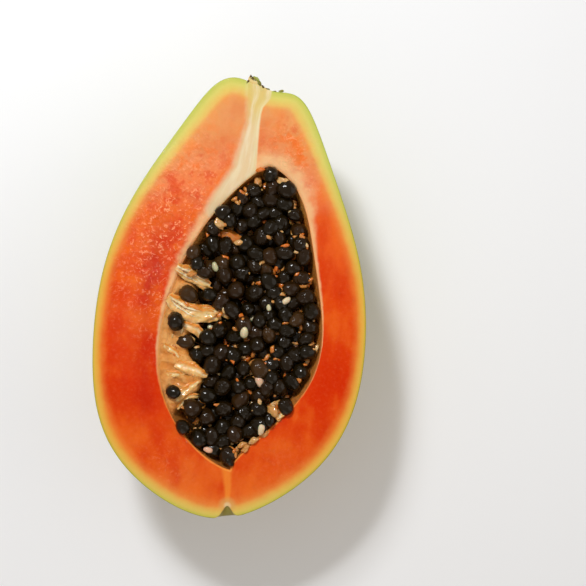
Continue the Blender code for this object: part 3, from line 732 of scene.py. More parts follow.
def soft_bit_material(name, stops, fine_mm, roughness):
    # Wet scraps of fruit tissue: the tint runs from one colour to another with each piece's own tone
    material, shader, add, place, tone, fold = new_material(name, "tone", "fold")
    soft = add("TexNoise", place, Scale=per_mm(3.0), Detail=3.0)
    fine = add("TexNoise", place, Scale=per_mm(fine_mm), Detail=4.0, Roughness=0.65)
    # On membrane strands the fold height shifts the tint, orange in the hollows and cream on the ridges:
    # painted shade and painted light; other pieces have no folds
    mixed = add("Math", fold, 1.3, add("Math", soft, 0.6, tone, **TIMES_ADD), **TIMES_ADD)
    base = add("ValToRGB", add("Math", mixed, 0.3, operation="SUBTRACT"), stops=stops)
    give(shader, {
        # Darker brown in the hollows of the fine bump: painted shade
        "Base Color": layered(add, base, (fine, 0.46, 0.28, 0.0, 0.2, "#9A5A1C")),
        "Normal": add("Bump", Strength=0.5, Distance=0.4 * MM, Height=fine), "Roughness": roughness,
        "IOR": 1.37, "Coat Weight": max(0.0, 1.0 - 2.0 * roughness), "Coat Roughness": 0.08,
        "Subsurface Weight": 0.25, "Subsurface Scale": 1.5 * MM})
    return material


def pit_pull(points):
    """How far the blossom pit draws each point in towards the fruit's middle."""
    x, y, z = points[..., 0], points[..., 1], points[..., 2]
    near = np.exp(-(((x - PIT_PLACE[0]) / PIT_WIDTH) ** 2) - (z / PIT_HEIGHT) ** 2)
    return PIT_DEPTH * near * np.exp(-np.maximum(y - PIT_PLACE[1], 0.0) / PIT_FADE)


def fruit_rings():
    """Closed rings of points round the fruit, one for each station, and what each run of them is."""
    angle = np.linspace(0.0, math.pi, STATIONS + 1)[:, None]
    skin = skin_points(angle, np.linspace(0.0, math.pi, SKIN_STEPS + 1)[None, :])
    lowest = skin[..., 2].min() + RESTING_SAG
    skin[..., 2] = np.clip(skin[..., 2], lowest, -RIM_ROUND)
    across = -np.cos(np.linspace(0.0, math.pi, WALL_STEPS + 1))[None, :]
    x, y = cavity_point(angle, across)
    wall = np.stack([x, y, -np.maximum(cavity_depth(angle, across), LIP_ROUND * 0.6)], axis=-1)
    share = ((1.0 - np.cos(np.linspace(0.0, math.pi, FACE_STEPS + 1))) / 2.0)[None, 1:-1, None]
    right = skin[:, -1:] * (1.0 - share) + wall[:, -1:] * share
    left = wall[:, :1] * (1.0 - share) + skin[:, :1] * share
    right[..., 2] = 0.0
    left[..., 2] = 0.0
    rings = np.concatenate([skin, right, wall[:, ::-1], left], axis=1)
    rings[..., 1] += pit_pull(rings)
    runs = (SKIN_STEPS, FACE_STEPS, WALL_STEPS, FACE_STEPS)
    return rings, runs


def tint(name, description, code):
    """Colour setting from a hex code."""
    return FloatVectorProperty(name=name, description=description, subtype="COLOR", default=linear(code))


class PapayaFruitSettings(bpy.types.PropertyGroup):
    face_relief: FloatProperty(
        name="Face relief", description="How uneven the cut face is", default=0.22 * MM, unit="LENGTH")
    wall_relief: FloatProperty(
        name="Wall relief", description="How rough the cavity's left wall is", default=1.3 * MM,
        unit="LENGTH")
    flesh_neck: tint("Flesh at the neck", "Colour of the flesh near the stem", "#E08E52")
    flesh_middle: tint("Flesh in the middle", "Colour of the flesh beside the cavity", "#DC4408")
    flesh_low: tint("Flesh at the wide end", "Colour of the ripest flesh", "#D43200")
    rim_yellow: tint("Rim", "Colour of the flesh just under the skin", "#E2A543")
    rim_green: tint("Rim at the neck", "Colour of the flesh just under the skin near the stem", "#D3CA6A")
    strip_cream: tint("Core strip", "Colour of the pale strip from the stem to the cavity", "#DFC499")
    wall_tan: tint("Cavity wall", "Colour of the wall that the seeds hung from", "#EA9A3C")
    skin_green: tint("Unripe skin", "Colour of the skin towards the stem", "#A8A82E")
    skin_yellow: tint("Ripe skin", "Colour of the skin towards the blossom end", "#B08E16")


class PapayaSeedSettings(bpy.types.PropertyGroup):
    length: FloatProperty(
        name="Seed length", description="Mean length of a ripe seed", default=7.8 * MM, unit="LENGTH")
    width: FloatProperty(
        name="Seed width", description="Mean width of a ripe seed", default=7.0 * MM, unit="LENGTH")
    draw: IntProperty(name="Seed draw", description="Number that fixes how the seeds fall", default=5)
    seed_black: tint("Seed colour", "Colour of the darkest seeds", "#181003")


class PapayaStageSettings(bpy.types.PropertyGroup):
    camera_height: FloatProperty(
        name="Camera height", description="Height of the camera above the cut face", default=0.5686,
        unit="LENGTH")
    camera_roll: FloatProperty(
        name="Camera roll", description="Turn of the camera about its view", default=math.radians(4.0),
        unit="ROTATION")
    lens: FloatProperty(name="Lens", description="Focal length in millimetres", default=85.0)
    key_power: FloatProperty(
        name="Key light", description="Power of the soft main light", default=2.7, unit="POWER")
    floor_colour: tint("Floor", "Colour of the surface that the half lies on", "#F0F1F3")


class PAPAYA_OT_fruit(bpy.types.Operator):
    """Makes the skin, the cut face and the cavity wall"""

    bl_idname = "papaya.fruit"
    bl_label = "Fruit half"

    def execute(self, context):
        settings = context.scene.papaya_fruit
        rings, runs = fruit_rings()
        rows, count = rings.shape[:2]
        points = rings.reshape(-1, 3)
        starts = np.cumsum((0,) + runs)
        column = np.tile(np.arange(count), rows)
        is_skin = column <= runs[0]
        is_wall = (column >= starts[2]) & (column <= starts[3])
        rim_path = np.concatenate([rings[:, 0, :2], rings[::-1, runs[0], :2]])
        lip_path = np.concatenate([rings[:, starts[3], :2], rings[::-1, starts[2], :2]])
        flat = points[:, :2]
        x, y = flat.T
        rim = distance_to_path(flat, rim_path)
        lip = distance_to_path(flat, lip_path)

        # Cut face: rounded off at both edges and gently uneven; the core strip and the crease sink in
        face = ~is_skin & ~is_wall
        strip_left = x - table_value(STRIP_LEFT, y)
        strip_left -= STRIP_HIDDEN * smooth_step((STRIP_ENDS_AT - y) / STRIP_FADE)
        strip_right = table_value(STRIP_RIGHT, y) - x
        crease = distance_to_path(flat, np.array(CREASE)) / (0.2 + 0.09 * np.clip(y, 4.0, 22.0))
        rounding = RIM_ROUND * (1.0 - np.clip(rim / (1.4 * RIM_ROUND), 0.0, 1.0)) ** 2
        rounding += 0.6 * LIP_ROUND * (1.0 - np.clip(lip / LIP_ROUND, 0.0, 1.0)) ** 2
        slope = FACE_FALL * np.exp(-lip / FACE_FALL_WIDTH)
        in_strip = smooth_step(strip_left / 3.0) * smooth_step(strip_right / 1.5)
        grooves = STRIP_SUNK * in_strip + CREASE_SUNK * np.exp(-((crease / 0.5) ** 2))
        broad, fine = FACE_WAVES
        waves = fractal(points * (1.0, 0.7, 0.0), broad)
        waves += 0.5 * fractal(points * (1.0, 0.8, 0.0) + 40.0, fine)
        waves *= settings.face_relief / MM * smooth_step(np.minimum(rim, lip) / 2.0)
        height = waves - rounding - slope - grooves * smooth_step(rim / 1.5)
        points[:, 2] = np.where(face, height, points[:, 2])

        # Cavity wall: rough where membrane and seeds were pulled off it, with torn folds filling its shelf
        _, across, _ = cavity_place(x, y)
        rough = settings.wall_relief / MM * smooth_step(lip / 2.5)
        rough *= 1.0 - 0.6 * smooth_step((across + 0.2) / 0.6)
        tissue = fractal(points * (0.6, 1.0, 0.0), 5.0, 4) + 0.5 * fractal(points + 70.0, 1.8, 2)
        shelf = smooth_step((table_value(SHELF_EDGE, y) + 1.0 - x) / 5.0) * smooth_step(lip)
        fold = 1.0 - 3.0 * np.abs(fractal(points * (0.6, 1.0, 0.0) + 15.0, 5.5, 4))
        rest = points[:, 2] + rough * tissue
        filled = 0.9 * fold * smooth_step(lip / 3.0) - 1.0 - 1.8 * smooth_step(lip / 7.0)
        rest += shelf * np.maximum(filled - rest, 0.0)
        points[:, 2] = np.where(is_wall, rest, points[:, 2])

        # The yellow under the skin runs straight across where the blossom pit cuts in
        angle = np.linspace(0.0, math.pi, rows)[:, None]
        whole = skin_points(angle, np.array([[0.0, math.pi]]))[..., :2]
        under_skin = distance_to_path(flat, np.concatenate([whole[:, 0], whole[::-1, 1]]))
        # Attributes for the colours: distances in millimetres, and shares from 0 to 1
        values = {
            "band": lip / np.where(across < 0.0, table_value(BAND_LEFT, y), table_value(BAND_RIGHT, y)),
            "crease": crease,
            "depth": np.where(is_wall, -points[:, 2], 0.0),
            "fold": np.where(is_wall, shelf * fold, 0.0),
            "length": np.repeat((1.0 - np.cos(np.linspace(0.0, math.pi, rows))) / 2.0, count),
            "pit": np.hypot(x - PIT_PLACE[0], y - PIT_PLACE[1] - PIT_DEPTH),
            "rind": under_skin / table_value(RIND_WIDTH, y),
            "shelf": smooth_step((y - 38.0) / 25.0) * smooth_step((14.0 - x) / 20.0 + (y > 125.0)),
            "streak": np.exp(-((distance_to_path(flat, np.array(STREAK)) / STREAK_WIDTH) ** 2)),
            "strip_left": strip_left,
            "strip_right": strip_right,
            "strip_share": np.clip(strip_left / np.maximum(strip_left + strip_right, 1.0), -1.0, 2.0),
            "turn": np.clip(column / runs[0], 0.0, 1.0),
            "wet": sum(
                share * np.exp(-(((x - middle) / wide) ** 2) - ((y - up) / tall) ** 2)
                for share, middle, up, wide, tall in WET_SPOTS),
        }
        faces = []
        kinds = []
        for j in range(count):
            kind = 0 if j < starts[1] else 2 if starts[2] <= j < starts[3] else 1
            after = (j + 1) % count
            for near in range(0, (rows - 1) * count, count):
                faces.append((near + j, near + after, near + count + after, near + count + j))
                kinds.append(kind)
        materials = [skin_material(settings), flesh_material(settings), wall_material(settings)]
        piece = new_piece("papaya_half", points, faces, materials, values, kinds)
        hand_in(piece, "fruit_half")
        return {"FINISHED"}


class PAPAYA_OT_stalk(bpy.types.Operator):
    """Makes the stub of the stalk in the stem dish and the dried bits on it"""

    bl_idname = "papaya.stalk"
    bl_label = "Stalk stub"

    def execute(self, context):
        points = []
        for i in range(STALK_ROWS):
            share = i / (STALK_ROWS - 1)
            for j in range(STALK_STEPS):
                turn = math.tau * j / STALK_STEPS
                radius = STALK_RADIUS * (1.08 - 0.16 * share)
                down = radius * math.sin(turn) if turn < math.pi else 0.35 * math.sin(turn)
                ragged = 0.5 * math.sin(7.0 * turn) + 0.4 * math.sin(13.0 * turn + 1.0)
                ragged -= 4.4 * (1.0 - math.cos(turn)) / 2.0
                out = share * (STALK_REACH + ragged) + STALK_ALONG
                x, y = beside_axis(math.pi, STALK_ACROSS - radius * math.cos(turn), out)
                points.append((float(x), float(y), -down - 0.45 - 1.4 * (1.0 - share) ** 2))
        points = np.array(points)
        points += 0.25 * np.stack([fractal(points + offset, 1.6, 3) for offset in (0.0, 30.0, 60.0)], axis=1)
        stops = ((0.0, "#8F7A3A"), (0.35, "#C2A65C"), (0.65, "#DDC07C"), (1.0, "#E4C98A"))
        material = soft_bit_material("papaya_stalk_fibre", stops, 0.9, 0.6)
        tone = 0.75 - 0.5 * smooth_step((-points[:, 2] - 0.6) / 2.5)
        faces = loft_faces(STALK_ROWS, STALK_STEPS)
        piece = new_piece("stalk_stub", points, faces, [material], {"tone": tone})
        hand_in(piece, "fruit_half")

        rng = np.random.default_rng(DRY_DRAW)
        stops = ((0.0, "#3A2812"), (0.35, "#5E4A20"), (0.7, "#7C7A35"), (1.0, "#9AA04A"))
        dry = soft_bit_material("dried_calyx", stops, 0.7, 0.75)
        bits = torn_bits("dried_bits", DRY_BITS, rng, (0.5, 0.4), 0.5, 4, dry)
        hand_in(bits, "fruit_half")
        return {"FINISHED"}


def shapes(name, count, cuts, change):
    """Collection of shapes for scattering, each a divided ball whose points a function moves."""
    group = bpy.data.collections.new(name)
    bpy.context.scene.collection.children.link(group)
    for kind in range(count):
        work = bmesh.new()
        bmesh.ops.create_cube(work, size=1.0)
        bmesh.ops.subdivide_edges(work, edges=work.edges, cuts=cuts, use_grid_fill=True)
        for vertex in work.verts:
            vertex.co = change(vertex.co.normalized() * 0.5, kind)
        mesh = bpy.data.meshes.new(f"{name}_{kind}")
        work.to_mesh(mesh)
        work.free()
        mesh.shade_smooth()
        group.objects.link(bpy.data.objects.new(mesh.name, mesh))
    return group


def seed_shapes():
    """Ripe seeds: blunt eggs, some a little dented."""
    def egg(point, kind):
        taper = 1.0 - (0.12 + 0.05 * (kind % 3)) * point.x * 2.0
        shrunk = 0.22 if kind > 4 else 0.06
        dent = 1.0 + shrunk * noise.noise(point * 4.0 + Vector((7.0 * kind, 0.0, 0.0)))
        return Vector((point.x, point.y * taper, point.z * taper)) * dent
    return shapes("seed_shape", 7, 2, egg)


def lump_shapes(cuts):
    """Torn, folded lumps of tissue, divided as finely as their size calls for."""
    def torn(point, kind):
        offset = Vector((5.0 * kind, 3.0, 0.0))
        swell = 1.0 + 0.5 * noise.noise(point * 2.2 + offset) + 0.14 * noise.noise(point * 5.5 + offset)
        return point * swell
    return shapes("lump_shape", 5, cuts, torn)


def torn_bits(name, bits, rng, slim, tip, cuts, material):
    """One piece of torn lumps, each with a place, a length, a heading and a tone."""
    size = [(bit[3], slim[0] * bit[3], slim[1] * bit[3]) for bit in bits]
    turn = [(rng.uniform(-0.5, 0.5), rng.uniform(-tip, tip), bit[4]) for bit in bits]
    values = {"tone": [bit[5] for bit in bits]}
    return scattered(name, [bit[:3] for bit in bits], size, turn, lump_shapes(cuts), material, values)


def scatter_tree():
    """Geometry Nodes tree that sets one of several shapes on each point, with the point's size and turn."""
    tree, add, source = new_tree(
        "scatter_on_points", Points="Geometry", Shapes="Collection", Size_factor="Float", Material="Material")
    kinds = add(
        "GeometryNodeCollectionInfo", Collection=source["Shapes"], Separate_Children=True,
        Reset_Children=True)
    turn = add("GeometryNodeInputNamedAttribute", Name="turn", data_type="FLOAT_VECTOR")
    size = add("GeometryNodeInputNamedAttribute", Name="size", data_type="FLOAT_VECTOR")
    kind = add("GeometryNodeInputNamedAttribute", Name="kind", data_type="INT")
    scale = add("VectorMath", size, Scale=source["Size factor"], operation="SCALE")
    rotation = add("FunctionNodeEulerToRotation", turn)
    instances = add(
        "GeometryNodeInstanceOnPoints", Points=source["Points"], Instance=kinds, Pick_Instance=True,
        Instance_Index=kind, Rotation=rotation, Scale=scale)
    real = add("GeometryNodeRealizeInstances", Geometry=instances)
    finish = add("GeometryNodeSetMaterial", Geometry=real, Material=source["Material"])
    add("NodeGroupOutput", finish)
    return tree


def made_by_nodes(name, carrier, tree, sockets):
    """Plain mesh piece that a Geometry Nodes tree makes from a carrier, which is then removed."""
    modifier = carrier.modifiers.new("nodes", "NODES")
    modifier.node_group = tree
    for item in tree.interface.items_tree:
        if item.name in sockets:
            modifier[item.identifier] = sockets[item.name]
    bpy.context.view_layer.update()
    depsgraph = bpy.context.evaluated_depsgraph_get()
    mesh = bpy.data.meshes.new_from_object(
        carrier.evaluated_get(depsgraph), preserve_all_data_layers=True, depsgraph=depsgraph)
    if not mesh.polygons:
        raise RuntimeError(f"{name}: the nodes made no faces")
    mesh.name = name
    bpy.data.objects.remove(carrier, do_unlink=True)
    return placed(name, mesh)


def carrier_of(points, edges=()):
    """Object whose mesh holds points in millimetres for Geometry Nodes to work on."""
    mesh = bpy.data.meshes.new("carrier")
    mesh.from_pydata(in_metres(points).tolist(), list(edges), [])
    return placed("carrier", mesh)


def scattered(name, points, size, turn, group, material, values):
    """One mesh piece of many small shapes at points, sizes in millimetres."""
    carrier = carrier_of(points)
    store(carrier.data, {"size": np.asarray(size) * MM, "turn": turn}, "FLOAT_VECTOR")
    store(carrier.data, {"kind": np.arange(len(points)) % len(group.objects)}, "INT")
    store(carrier.data, values)
    sockets = {"Shapes": group, "Size factor": 1.0, "Material": material}
    piece = made_by_nodes(name, carrier, scatter_tree(), sockets)
    for shape in list(group.objects):
        bpy.data.objects.remove(shape, do_unlink=True)
    bpy.data.collections.remove(group)
    return piece


class SeedBed:
    """The seeds and scraps in the cavity, each dropped until it rests on the wall or on those below."""

    def __init__(self, draw):
        self.rng = np.random.default_rng(draw)
        self.x = np.arange(-44.0, 46.0, BED_STEP)
        self.y = np.arange(12.0, 152.0, BED_STEP)
        angle, across, inside = cavity_place(*np.meshgrid(self.x, self.y, indexing="ij"))
        top = -heap_dip(angle, across)
        ground = np.where(inside, np.maximum(-cavity_depth(angle, across), top - CORE_BELOW_TOP), -3.0)
        self.top = np.where(inside, top, NOWHERE)
        self.ground = ground
        self.bed = np.full(ground.shape, NOWHERE)
        most = int(SEED_REACH / BED_STEP)
        for i in range(-most, most + 1):
            for j in range(-most, most + 1):
                rise = SEED_REACH**2 - (i * i + j * j) * BED_STEP**2
                if rise > 0.0:
                    self.bed = np.maximum(self.bed, np.roll(ground, (i, j), (0, 1)) + math.sqrt(rise))
        self.grains = np.zeros((0, 4))

    def look_up(self, grid, x, y):
        """Values of a grid at places."""
        i = np.clip(np.rint((x - self.x[0]) / BED_STEP).astype(int), 0, len(self.x) - 1)
        j = np.clip(np.rint((y - self.y[0]) / BED_STEP).astype(int), 0, len(self.y) - 1)
        return grid[i, j]

    def rest(self, x, y, reach):
        """Height of the middle of a grain of some reach when it comes to rest at each place."""
        height = self.look_up(self.bed, x, y) - SEED_REACH + reach
        if len(self.grains):
            gap = (x[:, None] - self.grains[:, 0]) ** 2 + (y[:, None] - self.grains[:, 1]) ** 2
            touch = (reach + self.grains[:, 3]) ** 2 * PRESSED - gap
            over = np.where(touch > 0.0, self.grains[:, 2] + np.sqrt(np.maximum(touch, 0.0)), NOWHERE)
            height = np.maximum(height, over.max(axis=1))
        return height

    def put(self, x, y, z, reach):
        """Adds a grain to those that later ones rest on."""
        self.grains = np.vstack([self.grains, (x, y, z, reach)])
        return x, y, z

    def settle(self, x, y, reach, wander):
        """Rests a grain at the lowest place within a short way of where it is dropped."""
        angles = np.linspace(0.0, math.tau, 12, endpoint=False)
        xs = np.concatenate([[x], x + wander * np.cos(angles), x + 0.5 * wander * np.cos(angles)])
        ys = np.concatenate([[y], y + wander * np.sin(angles), y + 0.5 * wander * np.sin(angles)])
        heights = self.rest(xs, ys, reach)
        low = int(np.argmin(heights))
        return self.put(float(xs[low]), float(ys[low]), float(heights[low]), reach)

    def fill(self, rise, spread):
        """Drops seeds, but none on the shelf, until the heap rises so far above its nominal top."""
        found = []
        misses = 0
        while misses < MOST_MISSES:
            x = self.rng.uniform(self.x[0], self.x[-1], 40)
            y = self.rng.uniform(self.y[0], self.y[-1], 40)
            size = self.rng.uniform(1.0 - spread, 1.0 + spread)
            room = self.look_up(self.top, x, y) + rise - self.rest(x, y, SEED_REACH * size)
            room = np.where(x < table_value(SHELF_EDGE, y), NOWHERE, room)
            best = int(np.argmax(room))
            if room[best] < 0.0:
                misses += 1
                continue
            z = self.look_up(self.top, x, y)[best] + rise - room[best]
            found.append((*self.put(x[best], y[best], z, SEED_REACH * size), size))
        return found


@functools.cache
def seed_bed():
    """Where every seed, young seed, lump and scrap in the cavity lies."""
    bed = SeedBed(bpy.context.scene.papaya_seeds.draw)
    mean = bpy.context.scene.papaya_seeds.length / MM
    lying = {"seeds": bed.fill(HEAP_RISE - HEAP_LAYER, 0.08)}
    for route, width in STRANDS:
        for (x, y, up), (next_x, next_y, _) in zip(route[:-1], route[1:]):
            for share in (0.0, 0.5):
                here = (x + share * (next_x - x), y + share * (next_y - y))
                top = bed.look_up(bed.top, *here)
                ground = bed.look_up(bed.ground, *here)
                bed.put(*here, max(top, ground) + up, width * 0.35)
    for x, y, length in SEEDS_SEEN:
        size = SEEN_SWELL * length / mean
        x, y, z = bed.settle(x, y, SEED_REACH * size, 0.0)
        z = min(z, bed.look_up(bed.top, x, y) + HIGHEST)
        bed.grains[-1, 2] = z
        lying["seeds"].append((x, y, z, size))
    for side in (-1.0, 1.0):
        for share in np.arange(0.03, 0.97, RIM_SPACING / CAVITY_LENGTH):
            angle = math.acos(1.0 - 2.0 * min(share + bed.rng.uniform(-0.01, 0.01), 0.98))
            half = sum(cavity_sides(angle)) / 2.0
            x, y = (float(value) for value in cavity_point(angle, side * max(0.0, 1.0 - RIM_INSET / half)))
            size = bed.rng.uniform(*RIM_SIZES)
            height = float(bed.rest(np.array([x]), np.array([y]), SEED_REACH * size)[0])
            if height < -0.2 and x > table_value(SHELF_EDGE, y):
                spot = bed.put(x, y, max(height, -RIM_DROP - bed.rng.uniform(0.0, 1.6)), SEED_REACH * size)
                lying["seeds"].append((*spot, size))
    lying["lumps"] = [
        (*bed.settle(x, y, 0.26 * length, 0.4), length, *rest) for x, y, length, *rest in PULP_LUMPS]
    lying["seeds"] += bed.fill(HEAP_RISE, 0.1)
    lying["young"] = [
        (*bed.settle(x, y, 0.3 * length, 1.2), length, tone) for x, y, length, tone in YOUNG_SEEDS]
    lying["scraps"] = []
    while len(lying["scraps"]) < SCRAPS:
        middle = bed.rng.uniform((bed.x[0], bed.y[0]), (bed.x[-1], bed.y[-1]))
        _, across, inside = cavity_place(*middle)
        if not inside or abs(across) > 0.9:
            continue
        tone = bed.rng.uniform(0.0, 0.8)
        for _ in range(bed.rng.integers(1, MOST_IN_CLUMP + 1)):
            x, y = middle + bed.rng.normal(0.0, CLUMP_SPREAD, 2)
            length = bed.rng.uniform(*SCRAP_LENGTHS)
            spot = bed.settle(x, y, 0.3 * length, 2.0)
            _, across, inside = cavity_place(*spot[:2])
            if inside and abs(across) < 0.95:
                heading = bed.rng.uniform(0.0, math.tau)
                lying["scraps"].append((*spot, length, heading, tone + bed.rng.uniform(-0.15, 0.15)))
    return lying


class PAPAYA_OT_core(bpy.types.Operator):
    """Makes the dark mass of seeds and pulp below the ones that show"""

    bl_idname = "papaya.core"
    bl_label = "Heap core"

    def execute(self, context):
        points = []
        for k in range(1, CORE_ROWS):
            angle = math.pi * k / CORE_ROWS
            across = -np.cos(np.linspace(0.04, math.pi - 0.04, CORE_STEPS))
            x, y = cavity_point(angle, across)
            over = heap_dip(angle, across) + CORE_BELOW_TOP
            under = np.maximum(cavity_depth(angle, across) + 0.6, over + 0.3)
            points += list(zip(x, y, -under)) + list(zip(x, y, -over))[::-1]
        points = np.array(points)
        stops = ((0.0, "#1E1006"), (0.4, "#36200C"), (0.75, "#5A3414"), (1.0, "#704620"))
        material = soft_bit_material("seed_bed_pulp", stops, 1.4, 0.6)
        faces = loft_faces(CORE_ROWS - 1, 2 * CORE_STEPS)
        piece = new_piece("heap_core", points, faces, [material], {"tone": np.full(len(points), 0.2)})
        hand_in(piece, "seed_heap")
        return {"FINISHED"}


def any_turns(rng, count, tip):
    """Turns of seeds that lie any way round but tip only a little."""
    heading = rng.uniform(0.0, math.tau, count)
    tips = rng.normal(0.0, tip, count)
    return np.stack([heading, tips, rng.uniform(0.0, math.tau, count)], axis=1)


class PAPAYA_OT_seeds(bpy.types.Operator):
    """Makes the black seeds and the pale young ones"""

    bl_idname = "papaya.seeds"
    bl_label = "Seeds"

    def execute(self, context):
        settings = context.scene.papaya_seeds
        length = settings.length / MM
        width = settings.width / MM
        rng = np.random.default_rng(settings.draw + 1)
        seeds = seed_bed()["seeds"]
        count = len(seeds)
        swell = np.array([seed[3] for seed in seeds])
        slim = rng.uniform(*SLIMNESS, count)
        long = length * swell * rng.uniform(*LENGTHS, count)
        size = np.stack([long, width * swell * slim, width * swell], axis=1)
        turn = any_turns(rng, count, 0.4)
        values = {
            "tone": rng.uniform(0.0, 1.0, count) ** 3.0,
            "wrinkle": np.where(
                rng.uniform(0.0, 1.0, count) < WRINKLED_SHARE, rng.uniform(*WRINKLES, count), FAINT_WRINKLE),
        }
        points = [seed[:3] for seed in seeds]
        piece = scattered("ripe_seeds", points, size, turn, seed_shapes(), seed_material(settings), values)
        hand_in(piece, "seed_heap")

        young = seed_bed()["young"]
        size = np.array([(seed[3], 0.62 * seed[3], 0.6 * seed[3]) for seed in young])
        turn = any_turns(rng, len(young), 0.3)
        stops = ((0.0, "#B9B68A"), (0.3, "#D9CFA6"), (0.7, "#E3BE9C"), (1.0, "#DFA98A"))
        material = soft_bit_material("unripe_seed_coat", stops, 1.2, 0.25)
        values = {"tone": [seed[4] for seed in young]}
        piece = scattered(
            "young_seeds", [seed[:3] for seed in young], size, turn, seed_shapes(), material, values)
        hand_in(piece, "seed_heap")
        return {"FINISHED"}


class PAPAYA_OT_pulp(bpy.types.Operator):
    """Makes the loose pulp and the membrane strands"""

    bl_idname = "papaya.pulp"
    bl_label = "Pulp and membrane"

    def execute(self, context):
        rng = np.random.default_rng(context.scene.papaya_seeds.draw + 2)
        stops = ((0.0, "#D26C18"), (0.3, "#C47A30"), (0.65, "#CC9654"), (1.0, "#E2C694"))
        material = soft_bit_material("papaya_pulp", stops, 1.6, 0.22)
        for name, kind, cuts, slim in (("pulp_lumps", "lumps", 6, 0.62), ("tissue_scraps", "scraps", 2, 0.5)):
            piece = torn_bits(name, seed_bed()[kind], rng, (slim, 0.8 * slim), 0.3, cuts, material)
            hand_in(piece, "seed_heap")

        points = []
        edges = []
        halves = []
        tones = []
        for route, width in STRANDS:
            x, y, up = np.transpose(route)
            angle, across, _ = cavity_place(x, y)
            ground = np.maximum(-heap_dip(angle, across), -cavity_depth(angle, across))
            start = len(points)
            points += list(zip(x, y, ground + up))
            edges += [(start + k, start + k + 1) for k in range(len(route) - 1)]
            share = (np.arange(len(route)) + 0.5) / len(route)
            halves += list(0.6 * width * MM * (0.3 + 0.85 * np.sin(math.pi * share) - 0.25 * share))
            tones += list(np.linspace(0.42, 0.4, len(route)) + (0.2 if width < 1.5 else 0.0))
        carrier = carrier_of(points, edges)
        store(carrier.data, {"half": halves, "tone": tones})
        stops = ((0.0, "#C8620A"), (0.3, "#E08A2C"), (0.55, "#F0BC74"), (0.8, "#F8E0B8"), (1.0, "#FCEED8"))
        material = soft_bit_material("papaya_membrane", stops, 2.2, 0.2)
        sockets = {"Thickness": 0.26, "Tear": 2.4 * MM, "Material": material}
        piece = made_by_nodes("membrane_strands", carrier, strand_tree(), sockets)
        hand_in(piece, "seed_heap")
        return {"FINISHED"}


def strand_tree():
    """Geometry Nodes tree that lays a torn flat strand along each path."""
    tree, add, source = new_tree(
        "strands_along_paths", Paths="Geometry", Thickness="Float", Tear="Float", Material="Material")
    curve = add("GeometryNodeMeshToCurve", Mesh=source["Paths"])
    smooth = add("GeometryNodeCurveSplineType", Curve=curve, spline_type="CATMULL_ROM")
    even = add("GeometryNodeResampleCurve", Curve=smooth, Count=60)
    upright = add("GeometryNodeSetCurveNormal", Curve=even, mode="Z_UP")
    half = add("GeometryNodeInputNamedAttribute", Name="half", data_type="FLOAT")
    circle = add("GeometryNodeCurvePrimitiveCircle", Resolution=36, Radius=1.0)
    flat = add("CombineXYZ", 1.0, source["Thickness"], 1.0)
    profile = add("GeometryNodeTransform", Geometry=circle, Scale=flat)
    # Folds run the length of each strand, and their heights go with it as an attribute for its colour, which
    # paints shade into the hollows and light onto the ridges
    place = add("GeometryNodeInputPosition")
    waves = add("TexNoise", Vector=place, Scale=1.3, Detail=1.0)
    level = add("Math", waves, 0.5, operation="SUBTRACT")
    lift = add("CombineXYZ", Y=level)
    named = add(
        "GeometryNodeStoreNamedAttribute", Geometry=profile, Name="fold", Value=level, data_type="FLOAT")
    folded = add("GeometryNodeSetPosition", Geometry=named, Offset=lift)
    ripple = add("TexNoise", Vector=place, Scale=per_mm(3.6), Detail=3.0, Roughness=0.55)
    centred = add("VectorMath", ripple.outputs["Color"], (0.5, 0.5, 0.5), operation="SUBTRACT")
    offset = add("VectorMath", centred, Scale=source["Tear"], operation="SCALE")
    tube = add("GeometryNodeCurveToMesh", Curve=upright, Profile_Curve=folded, Scale=half, Fill_Caps=True)
    torn = add("GeometryNodeSetPosition", Geometry=tube, Offset=offset)
    real = add("GeometryNodeRealizeInstances", Geometry=torn)
    finish = add("GeometryNodeSetMaterial", Geometry=real, Material=source["Material"])
    add("NodeGroupOutput", finish)
    return tree


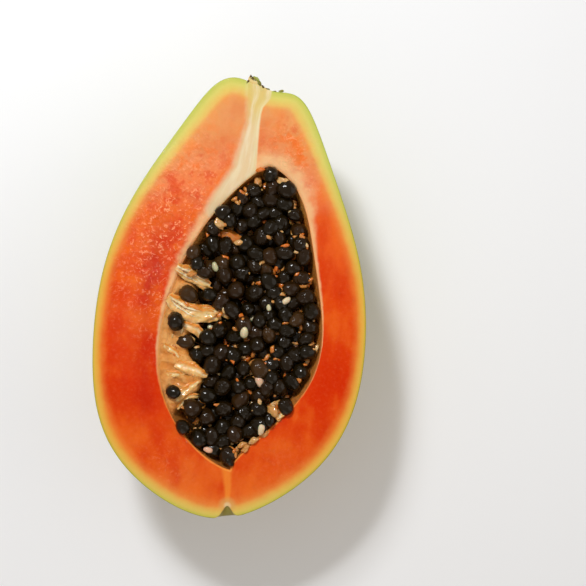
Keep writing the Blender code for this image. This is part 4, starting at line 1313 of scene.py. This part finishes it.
class PAPAYA_OT_stage(bpy.types.Operator):
    """Makes the floor, the lights and the camera"""

    bl_idname = "papaya.stage"
    bl_label = "Stage"

    def execute(self, context):
        scene = context.scene
        settings = scene.papaya_stage
        mesh = bpy.data.meshes.new("floor")
        corners = [(x * FLOOR_HALF, y * FLOOR_HALF, 0.0) for x, y in ((-1, -1), (1, -1), (1, 1), (-1, 1))]
        mesh.from_pydata(corners, [], [(0, 1, 2, 3)])
        floor = placed("floor", mesh)
        # Matt painted board: plain, with a very soft sheen
        material, shader, add, place = new_material("matt_white_board")
        cloud = add("TexNoise", place, Scale=per_mm(60.0), Detail=2.0)
        gloss = add("MapRange", cloud, 0.0, 1.0, 0.6, 0.75)
        give(shader, {"Roughness": gloss, "Base Color": opaque(settings.floor_colour)})
        mesh.materials.append(material)

        world = bpy.data.worlds.new("soft_room")
        world.use_nodes = True
        backdrop = world.node_tree.nodes["Background"]
        give(backdrop, {"Color": opaque("#F9F4EE"), "Strength": 0.42})
        scene.world = world

        lights = (
            ("key_window", (-0.22, 0.42, 0.62), 0.0, (0.17, 0.14), settings.key_power, "#F8FBFF"),
            ("bright_pane", (-0.2, 0.38, 0.66), 0.0, (0.08, 0.05), 1.3, "#FFFFFF"),
            ("right_wall", (0.9, 0.1, 0.45), 0.1, (0.9, 0.9), 2.2, "#FFFBF4"),
            ("near_wall", (-0.1, -0.9, 0.4), 0.0, (0.9, 0.9), 1.9, "#FFF4E4"),
        )
        for name, place, aim, size, power, colour in lights:
            light = bpy.data.lights.new(name, "AREA")
            light.shape = "RECTANGLE"
            light.size, light.size_y = size
            light.energy = power
            light.color = linear(colour)
            lamp = placed(name, light)
            lamp.location = place
            view = Vector((aim, 0.0, LIGHTS_AIM_HEIGHT)) - Vector(place)
            lamp.rotation_euler = view.to_track_quat("-Z", "Y").to_euler()

        camera = bpy.data.cameras.new("overhead")
        camera.lens = settings.lens
        camera.clip_start = 0.01
        eye = placed("overhead", camera)
        middle = in_metres(CAMERA_OVER)
        eye.location = (middle[0], middle[1], middle[2] + settings.camera_height)
        eye.rotation_euler = (0.0, 0.0, settings.camera_roll)
        scene.camera = eye
        scene.view_settings.view_transform = "Standard"
        return {"FINISHED"}


class PAPAYA_PT_panel(bpy.types.Panel):
    """Lists the pieces of the papaya half"""

    bl_label = "Papaya half"
    bl_space_type = "VIEW_3D"
    bl_region_type = "UI"
    bl_category = "Papaya"

    def draw(self, context):
        for settings in (context.scene.papaya_fruit, context.scene.papaya_seeds, context.scene.papaya_stage):
            box = self.layout.box()
            for name in settings.__annotations__:
                box.prop(settings, name)
        for operator in OPERATORS:
            self.layout.operator(operator.bl_idname)


OPERATORS = (
    PAPAYA_OT_fruit, PAPAYA_OT_stalk, PAPAYA_OT_core, PAPAYA_OT_seeds, PAPAYA_OT_pulp, PAPAYA_OT_stage)
SETTINGS = {
    "papaya_fruit": PapayaFruitSettings,
    "papaya_seeds": PapayaSeedSettings,
    "papaya_stage": PapayaStageSettings,
}


def register():
    for kind in (*SETTINGS.values(), *OPERATORS, PAPAYA_PT_panel):
        bpy.utils.register_class(kind)
    for name, kind in SETTINGS.items():
        setattr(bpy.types.Scene, name, PointerProperty(type=kind))


def unregister():
    for name in SETTINGS:
        delattr(bpy.types.Scene, name)
    for kind in reversed((*SETTINGS.values(), *OPERATORS, PAPAYA_PT_panel)):
        bpy.utils.unregister_class(kind)


def main():
    register()
    bpy.ops.papaya.fruit()
    bpy.ops.papaya.stalk()
    bpy.ops.papaya.core()
    bpy.ops.papaya.seeds()
    bpy.ops.papaya.pulp()
    bpy.ops.papaya.stage()


if __name__ == "__main__":
    main()
